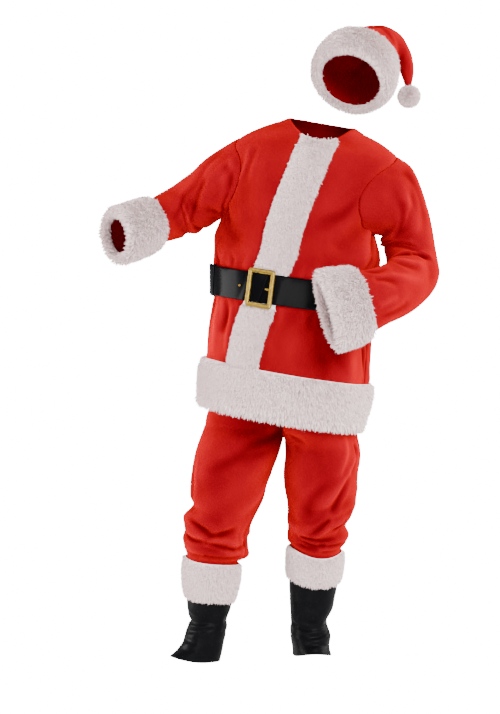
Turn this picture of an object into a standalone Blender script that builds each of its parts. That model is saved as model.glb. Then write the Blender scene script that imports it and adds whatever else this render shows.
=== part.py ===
"""Santa suit as it hangs on its wearer, with nobody inside it. Metres, +Z up.

+X is the wearer's left, the wearer faces -Y, and the origin is at the base of the
neck, where the shoulders carry the jacket. Every garment piece is a hollow wall
whose two faces are read from the same surface, so neighbours share their seam
lines and trims lie on the points of the panel below them. Tables are in
millimetres and degrees, and MM turns them into metres.
"""
import math
from typing import NamedTuple

import bmesh
import bpy
import numpy as np
from mathutils import Matrix, Vector

# ---------------------------------------------------------------- driving sizes
MM = 0.001
CLOTH = 2.0               # brushed velour, wall of the jacket, trousers and hat
VINYL = 1.8               # boot tops
STRAP = 2.6               # belt strap
SEAM = 0.3                # clear gap between two pieces at a seam
LIE = 0.5                 # clear gap under a piece that lies on another
PLUSH = 17.0              # standing height of the plush on hem and cuffs
PLUSH_FRONT = 13.0        # plush band down the front
PLUSH_PRESSED = 4.0       # the same band under the belt
PLUSH_BOOT = 9.0          # short plush on the boot tops
BAND_HALF = 45.0          # half the width of the front band
SPEED_STEP = 0.01         # radians used to measure how fast a ring runs

RED = ("santa_red_velour", (0.62, 0.012, 0.012), 0.85, 0.0)
WHITE = ("white_plush", (0.86, 0.82, 0.81), 0.95, 0.0)
BLACK_BELT = ("black_belt_vinyl", (0.012, 0.012, 0.014), 0.28, 0.0)
BLACK_BOOT = ("black_boot_vinyl", (0.014, 0.014, 0.016), 0.5, 0.0)
GOLD = ("antique_gold", (0.62, 0.44, 0.14), 0.38, 1.0)


# ---------------------------------------------------------------- section tables
class Ring(NamedTuple):
    """A level ring round the body or a leg: its place is its own height z."""
    name: str
    z: float
    x: float
    y: float
    half: float           # half its width, side to side
    front: float          # how far it reaches forward of its centre
    back: float           # how far it reaches back
    tilt: float           # degrees its left side hangs down
    turn: float           # degrees its front faces to the wearer's right
    dip: float            # how far its front hangs below its centre
    lift: float           # how far its back rises above its centre
    square: float         # 2 is an ellipse, more is fuller at the corners


JACKET = (
    #    name          z     x    y  half front back tilt turn dip lift square
    Ring("hem",      -676, -101,   8, 208, 168, 154, 9.0, 24,  0,  0, 2.15),
    Ring("band_top", -572,  -85,   6, 216, 172, 152, 9.0, 24,  0,  0, 2.15),
    Ring("skirt",    -484,  -78,   5, 213, 172, 150, 8.0, 23,  0,  0, 2.15),
    Ring("belt_low", -402,  -71,   4, 206, 164, 146, 7.5, 21,  0,  0, 2.2),
    Ring("belt_high", -326, -67,   3, 208, 163, 145, 7.5, 20,  0,  0, 2.2),
    Ring("belly",    -265,  -56,   2, 212, 158, 143, 7.0, 17,  0,  0, 2.2),
    Ring("armpit",   -188,  -55,   0, 194, 148, 140, 6.5, 14,  0,  0, 2.25),
    Ring("chest",    -120,  -43,   0, 190, 138, 132, 7.0, 12,  0,  0, 2.3),
    Ring("yoke",      -55,  -24,   0, 200, 122, 118, 7.0, 11,  2,  0, 2.35),
    Ring("tip",         2,   -7,   2, 204, 101, 100, 7.0, 10,  8,  2, 2.3),
    Ring("slope",      33,    0,   4, 156,  94,  84, 8.0, 10, 28,  4, 2.15),
    Ring("collar",     54,    4,   5, 108,  87,  70, 9.5, 10, 43,  4, 2.05),
    Ring("neck",       66,    5,   5,  82,  82,  60, 10.0, 10, 49,  2, 2.0),
)
BAND_TOP = -572.0         # top edge of the hem band
BAND_CLEAR = 3.0          # the front band starts this far above it
BELT_LOW = -402.0
BELT_HIGH = -326.0
BELT_EASE = 28.0          # the pressed plush swells again over this height
BELT_STEP = 14.0          # the first row of points beyond each edge of the belt
ARMPIT = -196.0
SHOULDER_TIP = 2.0
ARMHOLE_SPREAD = 0.66     # radians from the side line to the armhole's edge
FRONT_SHIFT = (           # how far the front opening lies to the wearer's right
    (-676.0, 126.0), (-572.0, 118.0), (-484.0, 106.0), (-402.0, 86.0), (-326.0, 63.0),
    (-255.0, 50.0), (-182.0, 34.0), (-120.0, 23.0), (-55.0, 16.0), (2.0, 12.0), (62.0, 10.0),
)


class Fold(NamedTuple):
    """A soft crease between two places on a surface: depth is minus for a trough."""
    name: str
    angle_from: float     # degrees round the piece
    place_from: float     # millimetres along it
    angle_to: float
    place_to: float
    width: float
    depth: float


JACKET_FOLDS = (
    #    name                  angle place   angle place width depth
    Fold("right_armpit_drag",    165, -170,   128, -250,  20, -7.0),
    Fold("right_armpit_swell",   172, -205,   140, -290,  22,  5.0),
    Fold("left_armpit_drag",      18, -165,    50, -235,  20, -7.0),
    Fold("left_armpit_swell",     12, -205,    42, -285,  22,  5.0),
    Fold("right_chest_soft",     140,  -70,   118, -190,  24, -4.0),
    Fold("left_chest_soft",       42,  -80,    62, -190,  24, -4.0),
    Fold("skirt_right_flute",    150, -415,   156, -560,  20, -6.0),
    Fold("skirt_right_swell",    133, -420,   140, -560,  18,  4.5),
    Fold("skirt_left_flute",      52, -415,    46, -550,  22, -6.0),
    Fold("skirt_left_swell",      30, -415,    24, -560,  22,  5.0),
    Fold("skirt_side_flute",       5, -415,     2, -560,  22, -6.0),
    Fold("back_right_flute",     215, -415,   212, -560,  24, -7.0),
    Fold("back_mid_swell",       262, -415,   264, -560,  30,  5.0),
    Fold("back_left_flute",      312, -415,   316, -560,  24, -7.0),
    Fold("back_right_blouse",    222, -316,   240, -215,  24,  6.0),
    Fold("back_left_blouse",     322, -316,   300, -215,  24,  6.0),
    Fold("back_mid_hollow",      270, -300,   268, -150,  30, -6.0),
    Fold("back_right_shoulder",  205, -120,   235,  -60,  26, -5.0),
    Fold("back_left_shoulder",   335, -120,   305,  -60,  26, -5.0),
    Fold("waist_right_blouse",   150, -316,   158, -240,  24,  5.0),
    Fold("waist_left_blouse",     32, -316,    24, -240,  24,  5.0),
)

CROTCH = -722.0           # height where the two legs part
CROTCH_X = -95.0
CROTCH_Y = 10.0
HIP_TURN = 20.0           # degrees the hips face to the wearer's right
RISE_BLEND = 105.0        # height over which a leg opens out into the hips
HIPS = (
    #    name          z     x    y  half front back tilt turn dip lift square
    Ring("hip_low",  -722, -92.8,  10, 186, 126, 128,  0,  20,  0,  0, 2.1),
    Ring("seat",     -640, -91.2,   9, 185, 130, 126,  0,  20,  0,  0, 2.1),
    Ring("hip",      -560, -86.0,   7, 182, 130, 122,  0,  20,  0,  0, 2.1),
    Ring("waist",    -455, -80.0,   6, 172, 130, 116,  0,  20,  0,  0, 2.1),
)
THIGH_HALF_RIGHT = 104.0
THIGH_HALF_LEFT = 93.0
TUCK_RIGHT = (-1064.0, -1106.0)     # where a leg goes into its boot top, and where it ends
TUCK_LEFT = (-1029.0, -1080.0)
LEG_RIGHT = (
    #    name              z     x    y  half front back tilt turn dip lift square
    Ring("thigh",        -778, -212,  12, 106, 106, 108,  3,  12,  0,  0, 2.1),
    Ring("mid_thigh",    -852, -234,  10,  99, 100, 104,  3,  14,  0,  0, 2.1),
    Ring("knee",         -906, -243,   4,  92,  94,  98,  4,  18,  2,  0, 2.1),
    Ring("knee_pinch",   -942, -253,   2,  83,  88,  90,  6,  20,  4,  0, 2.1),
    Ring("blouse",       -962, -266,   2,  87,  90,  92,  6,  22,  4,  0, 2.1),
    Ring("dent",         -990, -271,   4,  80,  84,  86,  8,  24,  6,  0, 2.1),
    Ring("puff",        -1022, -272,   6,  84,  86,  88,  9,  26,  6,  0, 2.1),
    Ring("droop",       -1046, -270,   8,  80,  82,  84, 10,  32,  6,  0, 2.1),
)
LEG_LEFT = (
    #    name              z     x    y  half front back tilt turn dip lift square
    Ring("thigh",        -778,    8,  -4,  95, 104, 106,  3,  12,  0,  0, 2.1),
    Ring("mid_thigh",    -838,    2, -10,  95, 100, 104,  2,   8,  0,  0, 2.1),
    Ring("knee",         -888,    3, -14,  92,  96,  98,  2,   4,  4,  0, 2.1),
    Ring("knee_pinch",   -930,    3, -16,  85,  90,  92,  0,   0,  8,  0, 2.1),
    Ring("blouse",       -958,   -3, -18,  80,  88,  90, -2,  -2, 12,  0, 2.1),
    Ring("dent",         -980,   -8, -18,  73,  80,  82, -2,  -4, 16,  0, 2.1),
    Ring("puff",        -1000,   -5, -18,  78,  80,  84, -1,  -6, 18,  0, 2.1),
    Ring("droop",       -1016,   -8, -18,  73,  74,  78,  0,  -6, 18,  0, 2.1),
)
LEG_FOLDS = (
    #    name               angle place  angle place width depth
    Fold("knee_drag_out",     170,  -925,    70,  -960,  13, -6.0),
    Fold("shin_drag_out",     150,  -968,    40,  -990,  12, -6.0),
    Fold("shin_roll",         130,  -985,    30, -1008,  13,  5.0),
    Fold("ankle_drag",        160, -1005,    50, -1032,  12, -6.0),
    Fold("calf_drag",         205,  -935,   320,  -962,  15, -7.0),
    Fold("calf_roll",         200,  -962,   330,  -990,  15,  5.0),
    Fold("calf_low_drag",     215,  -995,   330, -1018,  14, -6.0),
    Fold("thigh_front_soft",   60,  -770,   115,  -880,  26, -5.0),
    Fold("thigh_back_soft",   300,  -770,   240,  -880,  26, -5.0),
    Fold("inseam_drag",        12,  -735,    60,  -800,  16, -5.0),
)
LEFT_FOLD_RISE = 32.0     # the left leg is pulled up, so its folds lie higher

BOOT_RIGHT = (
    #    name              z     x    y  half front back tilt turn dip lift square
    Ring("shoe_edge",   -1336, -312,  14,  50,  84,  48,  0,  62, -14, -4, 2.1),
    Ring("instep",      -1310, -304,  14,  49,  66,  47,  2,  60,  -6,  0, 2.1),
    Ring("ankle",       -1276, -299,  14,  49,  54,  48,  4,  56,   0,  0, 2.1),
    Ring("slouch_low",  -1252, -294,  14,  50,  53,  50,  6,  54,   2,  0, 2.1),
    Ring("slouch_dent", -1228, -291,  14,  47,  50,  48,  8,  52,   4,  0, 2.1),
    Ring("slouch_top",  -1208, -291,  14,  50,  54,  52,  9,  50,   5,  0, 2.1),
    Ring("calf",        -1160, -288,  13,  58,  60,  60, 10,  46,   6,  0, 2.1),
    Ring("cuff_low",    -1120, -285,  13,  65,  66,  66, 10,  42,   6,  0, 2.0),
    Ring("cuff_top",    -1070, -281,  12,  67,  68,  68, 10,  40,   6,  0, 2.0),
)
BOOT_LEFT = (
    #    name              z     x    y  half front back tilt turn dip lift square
    Ring("shoe_edge",   -1316,  -20, -18,  48,  84,  48,  0,  -6, -16,  4, 2.1),
    Ring("instep",      -1290,  -24, -18,  47,  68,  47,  0,  -6,  -6,  2, 2.1),
    Ring("ankle",       -1264,  -24, -18,  51,  60,  50,  0,  -6,   2,  0, 2.1),
    Ring("slouch_low",  -1240,  -28, -18,  48,  54,  50,  2,  -6,   6,  0, 2.1),
    Ring("slouch_dent", -1220,  -28, -18,  47,  52,  50,  2,  -6,   8,  0, 2.1),
    Ring("slouch_top",  -1190,  -22, -18,  54,  58,  56,  3,  -6,  10,  0, 2.1),
    Ring("calf",        -1150,  -19, -18,  59,  62,  62,  4,  -6,  12,  0, 2.1),
    Ring("cuff_low",    -1105,  -15, -18,  63,  65,  65,  5,  -6,  14,  0, 2.0),
    Ring("cuff_top",    -1035,  -11, -18,  66,  68,  68,  6,  -6,  18,  0, 2.0),
)
BOOT_CUFF_RIGHT = (-1168.0, -1070.0)
BOOT_CUFF_LEFT = (-1112.0, -1035.0)
BOOT_FOLDS = (
    #    name             angle place  angle place width depth
    Fold("slouch_a",        10, -1228,   150, -1236,   9, -3.5),
    Fold("slouch_b",        60, -1256,   175, -1246,   9, -3.0),
    Fold("slouch_c",       190, -1232,   330, -1222,  10, -3.5),
    Fold("slouch_d",       215, -1262,   340, -1250,   9, -3.0),
)


class Section(NamedTuple):
    """A section square to a sleeve's or the hat's own line."""
    name: str
    x: float
    y: float
    z: float
    cap_x: float          # direction in which the cap line lies
    cap_y: float
    cap_z: float
    half_cap: float       # half size along that direction
    half_side: float      # half size across it


SLEEVE_RIGHT = (
    #       name           x     y     z  cap_x cap_y cap_z  cap side
    Section("upper",     -283,   52,  -105, -0.16, -0.05, 0.98, 81, 76),
    Section("mid_upper", -313,   67,  -130, -0.20, -0.03, 0.97, 75, 71),
    Section("elbow_top", -343,   75,  -147, -0.23,  0.02, 0.97, 71, 66),
    Section("elbow",     -372,   73,  -162, -0.24,  0.06, 0.96, 66, 63),
    Section("forearm",   -400,   59,  -174, -0.24,  0.08, 0.96, 62, 60),
    Section("wrist",     -428,   37,  -186, -0.24,  0.10, 0.96, 58, 58),
    Section("cuff_mid",  -470,    4,  -203, -0.22,  0.10, 0.97, 58, 58),
    Section("cuff_end",  -518,  -38,  -219, -0.20,  0.10, 0.97, 61, 60),
)
SLEEVE_LEFT = (
    #       name           x     y     z  cap_x cap_y cap_z  cap side
    Section("upper",      199,  -38,  -140,  0.43, -0.05,  0.90, 91, 74),
    Section("mid_upper",  215,  -34,  -200,  0.84, -0.05,  0.54, 72, 70),
    Section("elbow_top",  227,  -30,  -250,  0.99, -0.05,  0.02, 67, 66),
    Section("elbow",      237,  -58,  -304,  0.86,  0.15, -0.45, 69, 60),
    Section("forearm",    204, -130,  -346,  0.52, -0.16, -0.84, 68, 52),
    Section("wrist",      146, -190,  -371,  0.30, -0.12, -0.94, 70, 46),
    Section("cuff_mid",    88, -223,  -388,  0.27, -0.08, -0.95, 80, 41),
    Section("cuff_end",    20, -249,  -403,  0.26, -0.06, -0.95, 91, 38),
)
SLEEVE_FOLDS = (
    #    name             angle place angle place width depth
    Fold("cap_drag",        30,   40,   95,  120,  18, -5.0),
    Fold("cap_swell",       70,   45,  120,  105,  18,  4.0),
    Fold("armpit_drag",    150,   62,  100,  120,  16, -4.5),
    Fold("elbow_crush_a",  190,  128,   95,  156,  14, -5.0),
    Fold("elbow_crush_b",  195,  168,  100,  188,  14, -5.0),
    Fold("elbow_roll",     190,  148,   90,  172,  13,  4.0),
    Fold("forearm_soft",   140,  210,   60,  280,  16, -5.0),
    Fold("outer_soft",     340,   60,  290,  170,  20, -5.0),
    Fold("outer_low",      330,  200,  270,  280,  18, -5.0),
)
CUFF_LENGTH = {"right": 112.0, "left": 86.0}
CUFF_BEYOND = 10.0        # the plush runs this far past the sleeve's own end

HAT_X = 78.0              # middle of the hat's opening
HAT_Y = 12.0
HAT_Z = 180.0
HAT = (
    #       name         x    y    z  cap_x cap_y cap_z  cap side
    Section("opening",    0,   0,   0,  0.89, -0.02, -0.45, 90, 97),
    Section("brim_mid",  15,  32,  29,  0.89, -0.02, -0.45, 90, 97),
    Section("brim_top",  29,  62,  55,  0.89, -0.04, -0.45, 85, 92),
    Section("crown",     56,  92,  74,  0.84, -0.18, -0.52, 70, 78),
    Section("bend",      91, 114,  93,  0.64, -0.34, -0.69, 50, 63),
    Section("fold",     124, 121,  84,  0.15, -0.50, -0.85, 36, 44),
    Section("fall",     146, 116,  57, -0.50, -0.45, -0.74, 24, 29),
    Section("hang",     154, 107,  22, -0.90, -0.30, -0.30, 15, 18),
    Section("tip",      156,  98, -15, -0.96, -0.20, -0.10,  6,  6),
)
BRIM_HEIGHT = 84.0
BRIM_PLUSH = 24.0
POMPOM_RADIUS = 31.0
POMPOM_CORE = 22.0
POMPOM = (235.6, 110.0, 142.6)
POMPOM_ROOT = 0.28        # share of a face that a lock's root leaves free

BUCKLE_X = -151.0         # the middle of the buckle, side to side
BUCKLE_WIDTH = 74.0
BUCKLE_HEIGHT = 99.0
BUCKLE_BAR = 11.5
BUCKLE_THICK = 5.0
BUCKLE_TILT = 8.0         # degrees it leans with the belt
PRONG_LENGTH = 11.0
PRONG_WIDTH = 6.0
RIVET_RADIUS = 3.5
RIVET_LIFT = 1.3          # the middle of the rivet above the strap it is set in
STRAP_EASE = 3.0          # the belt stands this far off the cloth beside the front band
KEEPER_THICK = 1.8
BUCKLE_SEAT = 0.9         # how far the flat frame sinks over the rounded strap, to lie on it
KEEPER_BACK = 0.45        # share of its thickness behind the strap, where it is flattened


# ---------------------------------------------------------------- reading the tables
class Table:
    """Rows of numbers read as one smooth curve along their places."""

    def __init__(self, places, values):
        order = np.argsort(places)
        self.places = np.asarray(places, float)[order]
        self.values = np.asarray(values, float)[order]
        steps = np.diff(self.places)[:, None]
        slopes = np.diff(self.values, axis=0) / steps
        middle = (slopes[:-1] * steps[1:] + slopes[1:] * steps[:-1]) / (steps[:-1] + steps[1:])
        self.slopes = np.vstack([slopes[:1], middle, slopes[-1:]])

    def read(self, place):
        """All the columns at one place, by a cubic through the rows on each side."""
        place = min(max(place, self.places[0]), self.places[-1])
        last = len(self.places) - 2
        low = min(max(int(np.searchsorted(self.places, place) - 1), 0), last)
        span = self.places[low + 1] - self.places[low]
        t = (place - self.places[low]) / span
        start, end = self.values[low], self.values[low + 1]
        leave, arrive = self.slopes[low] * span, self.slopes[low + 1] * span
        return ((2 * t**3 - 3 * t**2 + 1) * start + (t**3 - 2 * t**2 + t) * leave
                + (3 * t**2 - 2 * t**3) * end + (t**3 - t**2) * arrive)


def smooth_step(t):
    """0 to 1 with level ends."""
    t = min(max(t, 0.0), 1.0)
    return t * t * (3 - 2 * t)


def unit(vector):
    return vector / max(float(np.linalg.norm(vector)), 1e-9)


def fold_height(folds, radius, angle, place):
    """How far the folds lift the cloth at one spot, in millimetres."""
    height = 0.0
    degrees = math.degrees(angle)
    for fold in folds:
        turned = (degrees - fold.angle_from + 180.0) % 360.0 - 180.0
        spot = np.array([math.radians(turned) * radius, place - fold.place_from])
        run = np.array([math.radians(fold.angle_to - fold.angle_from) * radius,
                        fold.place_to - fold.place_from])
        share = min(max(float(spot @ run) / float(run @ run), 0.0), 1.0)
        away = float(np.linalg.norm(spot - share * run))
        height += fold.depth * math.exp(-(away / fold.width) ** 2)
    return height


class Surface:
    """A tube given by an angle round it and a place along it, with folds in it."""

    step = 1.5

    def __init__(self, folds=(), radius=100.0):
        self.folds = folds
        self.radius = radius

    def normal(self, angle, place):
        """The direction straight out of the cloth."""
        turn = self.step / self.radius
        along = self.bare(angle, place + self.step) - self.bare(angle, place - self.step)
        round_it = self.bare(angle + turn, place) - self.bare(angle - turn, place)
        out = unit(np.cross(along, round_it))
        return out if float(out @ (self.bare(angle, place) - self.middle(place))) > 0 else -out

    def at(self, angle, place, out=0.0):
        """A point of the cloth, moved out of it."""
        lift = out + fold_height(self.folds, self.radius, angle, place)
        return self.bare(angle, place) + self.normal(angle, place) * lift


# ---------------------------------------------------------------- rings: body, legs, boots
def ring_point(ring, angle):
    """A point of a level ring; 0 is its left side, a quarter turn on is its front."""
    z, x, y, half, front, back, tilt, turn, dip, lift, square = ring
    across, ahead = math.cos(angle), math.sin(angle)
    full = (abs(across)**square + abs(ahead)**square) ** (-1.0 / square)
    side = half * across * full
    depth = (front if ahead > 0 else back) * ahead * full
    drop = (dip if ahead > 0 else -lift) * ahead * ahead
    turn = math.radians(turn)
    east = side * math.cos(turn) - depth * math.sin(turn)
    south = side * math.sin(turn) + depth * math.cos(turn)
    return np.array([x + east, y - south, z - drop - math.tan(math.radians(tilt)) * east])


class RingSurface(Surface):
    """A tube through level rings."""

    def __init__(self, rows, folds=(), radius=100.0, mirrored=False):
        super().__init__(folds, radius)
        self.table = Table([row.z for row in rows], [row[1:] for row in rows])
        self.mirrored = mirrored

    def ring_angle(self, angle):
        """A leg's angle starts at its inseam, on whichever side that lies."""
        return math.pi - angle if self.mirrored else angle

    def bare(self, angle, place):
        return ring_point(self.table.read(place), self.ring_angle(angle))

    def middle(self, place):
        ring = self.table.read(place)
        return np.array([ring[1], ring[2], ring[0]])


class LegSurface(RingSurface):
    """A trouser leg: a whole tube below the crotch, half of the hips above it."""

    def __init__(self, rows, mirrored, fold_rise=0.0):
        folds = [fold._replace(place_from=fold.place_from + fold_rise,
                               place_to=fold.place_to + fold_rise) for fold in LEG_FOLDS]
        super().__init__(rows, folds, 85.0, mirrored)
        self.hips = Table([row.z for row in HIPS], [row[1:] for row in HIPS])

    def opened(self, place):
        return smooth_step((place - CROTCH) / RISE_BLEND)

    def bare(self, angle, place):
        if place <= CROTCH:
            return super().bare(angle, place)
        thigh = super().bare(angle, CROTCH)
        hips = self.hips.read(place)
        thigh += np.array([hips[1] - CROTCH_X, hips[2] - CROTCH_Y, place - CROTCH])
        quarter = math.pi / 2
        hip_angle = quarter - angle / 2 if self.mirrored else quarter + angle / 2
        share = self.opened(place)
        return thigh * (1 - share) + ring_point(hips, hip_angle) * share

    def middle(self, place):
        if place <= CROTCH:
            return super().middle(place)
        hips = self.hips.read(place)
        thigh = super().middle(CROTCH)
        thigh += np.array([hips[1] - CROTCH_X, hips[2] - CROTCH_Y, place - CROTCH])
        share = self.opened(place)
        return thigh * (1 - share) + np.array([hips[1], hips[2], place]) * share

    def behind_seam(self, point):
        """Keep a point on its own side of the seam between the legs."""
        if point[2] < CROTCH - 6.0:
            return point
        hips = self.hips.read(point[2])
        turn = math.radians(HIP_TURN)
        across = np.array([math.cos(turn), -math.sin(turn), 0.0]) * (-1 if self.mirrored else 1)
        beyond = float((point - np.array([hips[1], hips[2], point[2]])) @ across) + SEAM / 2
        return point - across * max(beyond, 0.0)


def leg_rows(rows, boot_rows, thigh_half, tuck, side):
    """The leg's table with its crotch and its tucked end worked out from their neighbours."""
    turn = math.radians(HIP_TURN)
    reach = side * (thigh_half + CLOTH + SEAM)
    crotch = Ring("crotch", CROTCH, CROTCH_X + reach * math.cos(turn),
                  CROTCH_Y - reach * math.sin(turn), thigh_half, 110, 114, 0, HIP_TURN, 0, 0, 2.1)
    boot = Table([row.z for row in boot_rows], [row[1:] for row in boot_rows])
    inside = CLOTH + LIE + SEAM
    tucked = []
    for place in (tuck[0], boot_rows[-1].z, (boot_rows[-1].z + tuck[1]) / 2, tuck[1]):
        ring = boot.read(place)
        tucked.append(Ring("tucked", place, *ring[1:3], *(ring[3:6] - inside), *ring[6:]))
    return [crotch] + list(rows) + tucked


# ---------------------------------------------------------------- sections: sleeves and hat
class SectionSurface(Surface):
    """A tube through sections square to its own line, from an optional first loop."""

    def __init__(self, rows, folds=(), radius=70.0, first_loop=None, handed=1.0):
        super().__init__(folds, radius)
        self.rows = rows
        self.first_loop = first_loop
        self.handed = handed
        self.centres = [np.array([row.x, row.y, row.z], float) for row in rows]
        if first_loop:
            loop = [first_loop(math.tau * k / 12) for k in range(12)]
            self.centres.insert(0, sum(loop) / len(loop))
        gaps = [float(np.linalg.norm(b - a)) for a, b in zip(self.centres, self.centres[1:])]
        self.places = np.concatenate([[0.0], np.cumsum(gaps)])
        self.length = float(self.places[-1])
        self.line = Table(self.places, self.centres)
        self.known = {}

    def section_point(self, index, angle):
        """A point of one of the table's sections."""
        skip = 1 if self.first_loop else 0
        row = self.rows[index - skip]
        before = self.centres[max(index - 1, 0)]
        after = self.centres[min(index + 1, len(self.centres) - 1)]
        along = unit(after - before)
        cap = unit(np.array([row.cap_x, row.cap_y, row.cap_z]))
        side = unit(np.cross(along, cap)) * self.handed
        return (self.centres[index] + cap * row.half_cap * math.cos(angle)
                + side * row.half_side * math.sin(angle))

    def curve(self, angle):
        """The line that runs along the piece at one angle."""
        key = round(angle % math.tau, 6)
        if key not in self.known:
            points = [self.section_point(index, angle)
                      for index in range(1 if self.first_loop else 0, len(self.centres))]
            if self.first_loop:
                points.insert(0, self.first_loop(angle))
            self.known[key] = Table(self.places, points)
        return self.known[key]

    def bare(self, angle, place):
        return self.curve(angle).read(place)

    def middle(self, place):
        return self.line.read(place)


# ---------------------------------------------------------------- the jacket's own lines
BODY = RingSurface(JACKET, JACKET_FOLDS, 180.0)
SHIFT = Table([row[0] for row in FRONT_SHIFT], [row[1:] for row in FRONT_SHIFT])


def front_angle(place):
    """The angle of the front opening, which lies to the wearer's right of the middle."""
    ring = BODY.table.read(place)
    shift = float(SHIFT.read(place)[0])
    low, high = math.radians(60), math.radians(165)
    for _ in range(40):
        mid = (low + high) / 2
        if ring_point(ring, mid)[0] - ring[1] > -shift:
            low = mid
        else:
            high = mid
    return (low + high) / 2


def ring_speed(angle, place):
    """Millimetres round the body for each radian."""
    ahead = BODY.bare(angle + SPEED_STEP, place)
    behind = BODY.bare(angle - SPEED_STEP, place)
    return float(np.linalg.norm(ahead - behind)) / (2 * SPEED_STEP)


def armhole_turn(place):
    """How far round the loop of the armhole a place lies: 0 at the tip, pi at the armpit."""
    share = (place - ARMPIT) / (SHOULDER_TIP - ARMPIT)
    return math.acos(min(max(2 * share - 1, -1.0), 1.0))


def armhole_spread(place):
    """Radians from the side line to the edge of the panels."""
    return ARMHOLE_SPREAD * math.sin(armhole_turn(place))


def armhole_loop(side):
    """The loop on which a sleeve stands, from the shoulder's tip forward and round."""
    def loop(angle):
        share = (1 + math.cos(angle)) / 2
        place = ARMPIT + (SHOULDER_TIP - ARMPIT) * share
        spread = ARMHOLE_SPREAD * math.sin(angle)
        return BODY.at(spread if side > 0 else math.pi - spread, place, CLOTH + SEAM)
    return loop


ARMHOLE_STEPS = 10
SIDE_STEPS = 6            # columns of a front from the band's edge to the side
BACK_STEPS = 15
BODY_PLACES = (
    list(np.linspace(JACKET[0].z, BAND_TOP, 4))
    + [BAND_TOP + BAND_CLEAR, -536.0, -500.0, -464.0, -438.0]
    + [BELT_LOW - BELT_STEP, BELT_LOW, (BELT_LOW + BELT_HIGH) / 2, BELT_HIGH, BELT_HIGH + BELT_STEP]
    + [-286.0, -260.0, -236.0, -214.0]
    + [ARMPIT + (SHOULDER_TIP - ARMPIT) * (1 - math.cos(math.pi * k / ARMHOLE_STEPS)) / 2
       for k in range(ARMHOLE_STEPS + 1)]
    + [SHOULDER_TIP + 16.0, SHOULDER_TIP + 32.0, SHOULDER_TIP + 48.0, JACKET[-1].z]
)
HEM_PLACES = BODY_PLACES[:4]
BAND_PLACES = BODY_PLACES[4:]
BELT_PLACES = [BELT_LOW, (BELT_LOW + BELT_HIGH) / 2, BELT_HIGH]


def band_edges(place):
    """The angles of the front band: its left edge, its quarters and its right edge."""
    seam = front_angle(place)
    half = BAND_HALF / ring_speed(seam, place)
    return [seam + half * share for share in (-1.0, -0.5, 0.0, 0.5, 1.0)]


def front_columns(place, side):
    """A front panel's angles from the front opening to the side or the armhole."""
    edges = band_edges(place)
    inner = edges[2:] if side < 0 else edges[2::-1]
    gap = SEAM / 2 / ring_speed(inner[0], place)
    start = [inner[0] - side * gap, inner[1], inner[2]]
    side_line = armhole_spread(place) if side > 0 else math.pi - armhole_spread(place)
    side_gap = SEAM / 2 / ring_speed(side_line, place)
    end = side_line + side * side_gap
    return start + list(np.linspace(inner[2], end, SIDE_STEPS + 1)[1:])


def back_columns(place):
    """The back panel's angles from the wearer's right side to the left side."""
    spread = armhole_spread(place)
    gap = SEAM / 2 / ring_speed(math.pi, place)
    return list(np.linspace(math.pi + spread + gap, math.tau - spread - gap, BACK_STEPS + 1))


def round_columns(place):
    """Every angle of the panels in one closed ring, for what is sewn or worn round them."""
    left = front_columns(place, 1)[:0:-1]
    right = front_columns(place, -1)[1:]
    return [0.0] + left[1:] + [front_angle(place)] + right[:-1] + back_columns(place)[:-1]


# ---------------------------------------------------------------- meshes
def new_object(name, mesh, finish):
    """Link a mesh as an object with its own plain material."""
    title, colour, roughness, metallic = finish
    material = bpy.data.materials.get(title)
    if material is None:
        material = bpy.data.materials.new(title)
        material.use_nodes = True
        shader = material.node_tree.nodes["Principled BSDF"]
        shader.inputs["Base Color"].default_value = (*colour, 1.0)
        shader.inputs["Roughness"].default_value = roughness
        shader.inputs["Metallic"].default_value = metallic
    mesh.materials.append(material)
    piece = bpy.data.objects.new(name, mesh)
    bpy.context.scene.collection.objects.link(piece)
    return piece


def finish_mesh(name, body, finish):
    """Turn a bmesh into an object whose faces point out, shaded smooth."""
    bmesh.ops.recalc_face_normals(body, faces=body.faces[:])
    mesh = bpy.data.meshes.new(name)
    body.to_mesh(mesh)
    body.free()
    mesh.shade_smooth()
    mesh.set_sharp_from_angle(angle=math.radians(50))
    return new_object(name, mesh, finish)


def wall(name, inner, outer, finish, closed=False):
    """A solid between two grids of points of the same shape; closed joins last to first.

    Every grid runs the same way round and is cut into triangles along the same diagonals,
    so that what lies on a piece stays clear of it between their shared points.
    """
    body = bmesh.new()
    faces = []
    for grid in (inner, outer):
        faces.append([[body.verts.new(Vector(point) * MM) for point in row] for row in grid])
    inside, outside = faces
    rows, columns = len(inner), len(inner[0])
    spans = columns if closed else columns - 1
    for row in range(rows - 1):
        for column in range(spans):
            after = (column + 1) % columns
            for sheet in (inside, outside):
                here, there = sheet[row][column], sheet[row + 1][after]
                body.faces.new((here, sheet[row][after], there))
                body.faces.new((here, there, sheet[row + 1][column]))
    for row in (0, rows - 1):
        for column in range(spans):
            after = (column + 1) % columns
            body.faces.new((inside[row][column], inside[row][after],
                            outside[row][after], outside[row][column]))
    if not closed:
        for column in (0, columns - 1):
            for row in range(rows - 1):
                body.faces.new((inside[row][column], inside[row + 1][column],
                                outside[row + 1][column], outside[row][column]))
    return finish_mesh(name, body, finish)


def plush_profile(share, height, edge=0.35):
    """The plush stands lower at its two cut edges, share running from 0 to 1 across."""
    return height * (edge + (1 - edge) * (1 - abs(2 * share - 1) ** 3))


# ---------------------------------------------------------------- the jacket
def jacket_panel(name, columns_at):
    grids = [[[BODY.at(angle, place, out) for angle in columns_at(place)]
              for place in BODY_PLACES] for out in (0.0, CLOTH)]
    wall(name, *grids, RED)


def jacket_panels():
    jacket_panel("jacket_front_right", lambda place: front_columns(place, -1))
    jacket_panel("jacket_front_left", lambda place: front_columns(place, 1)[::-1])
    jacket_panel("jacket_back", back_columns)


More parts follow.
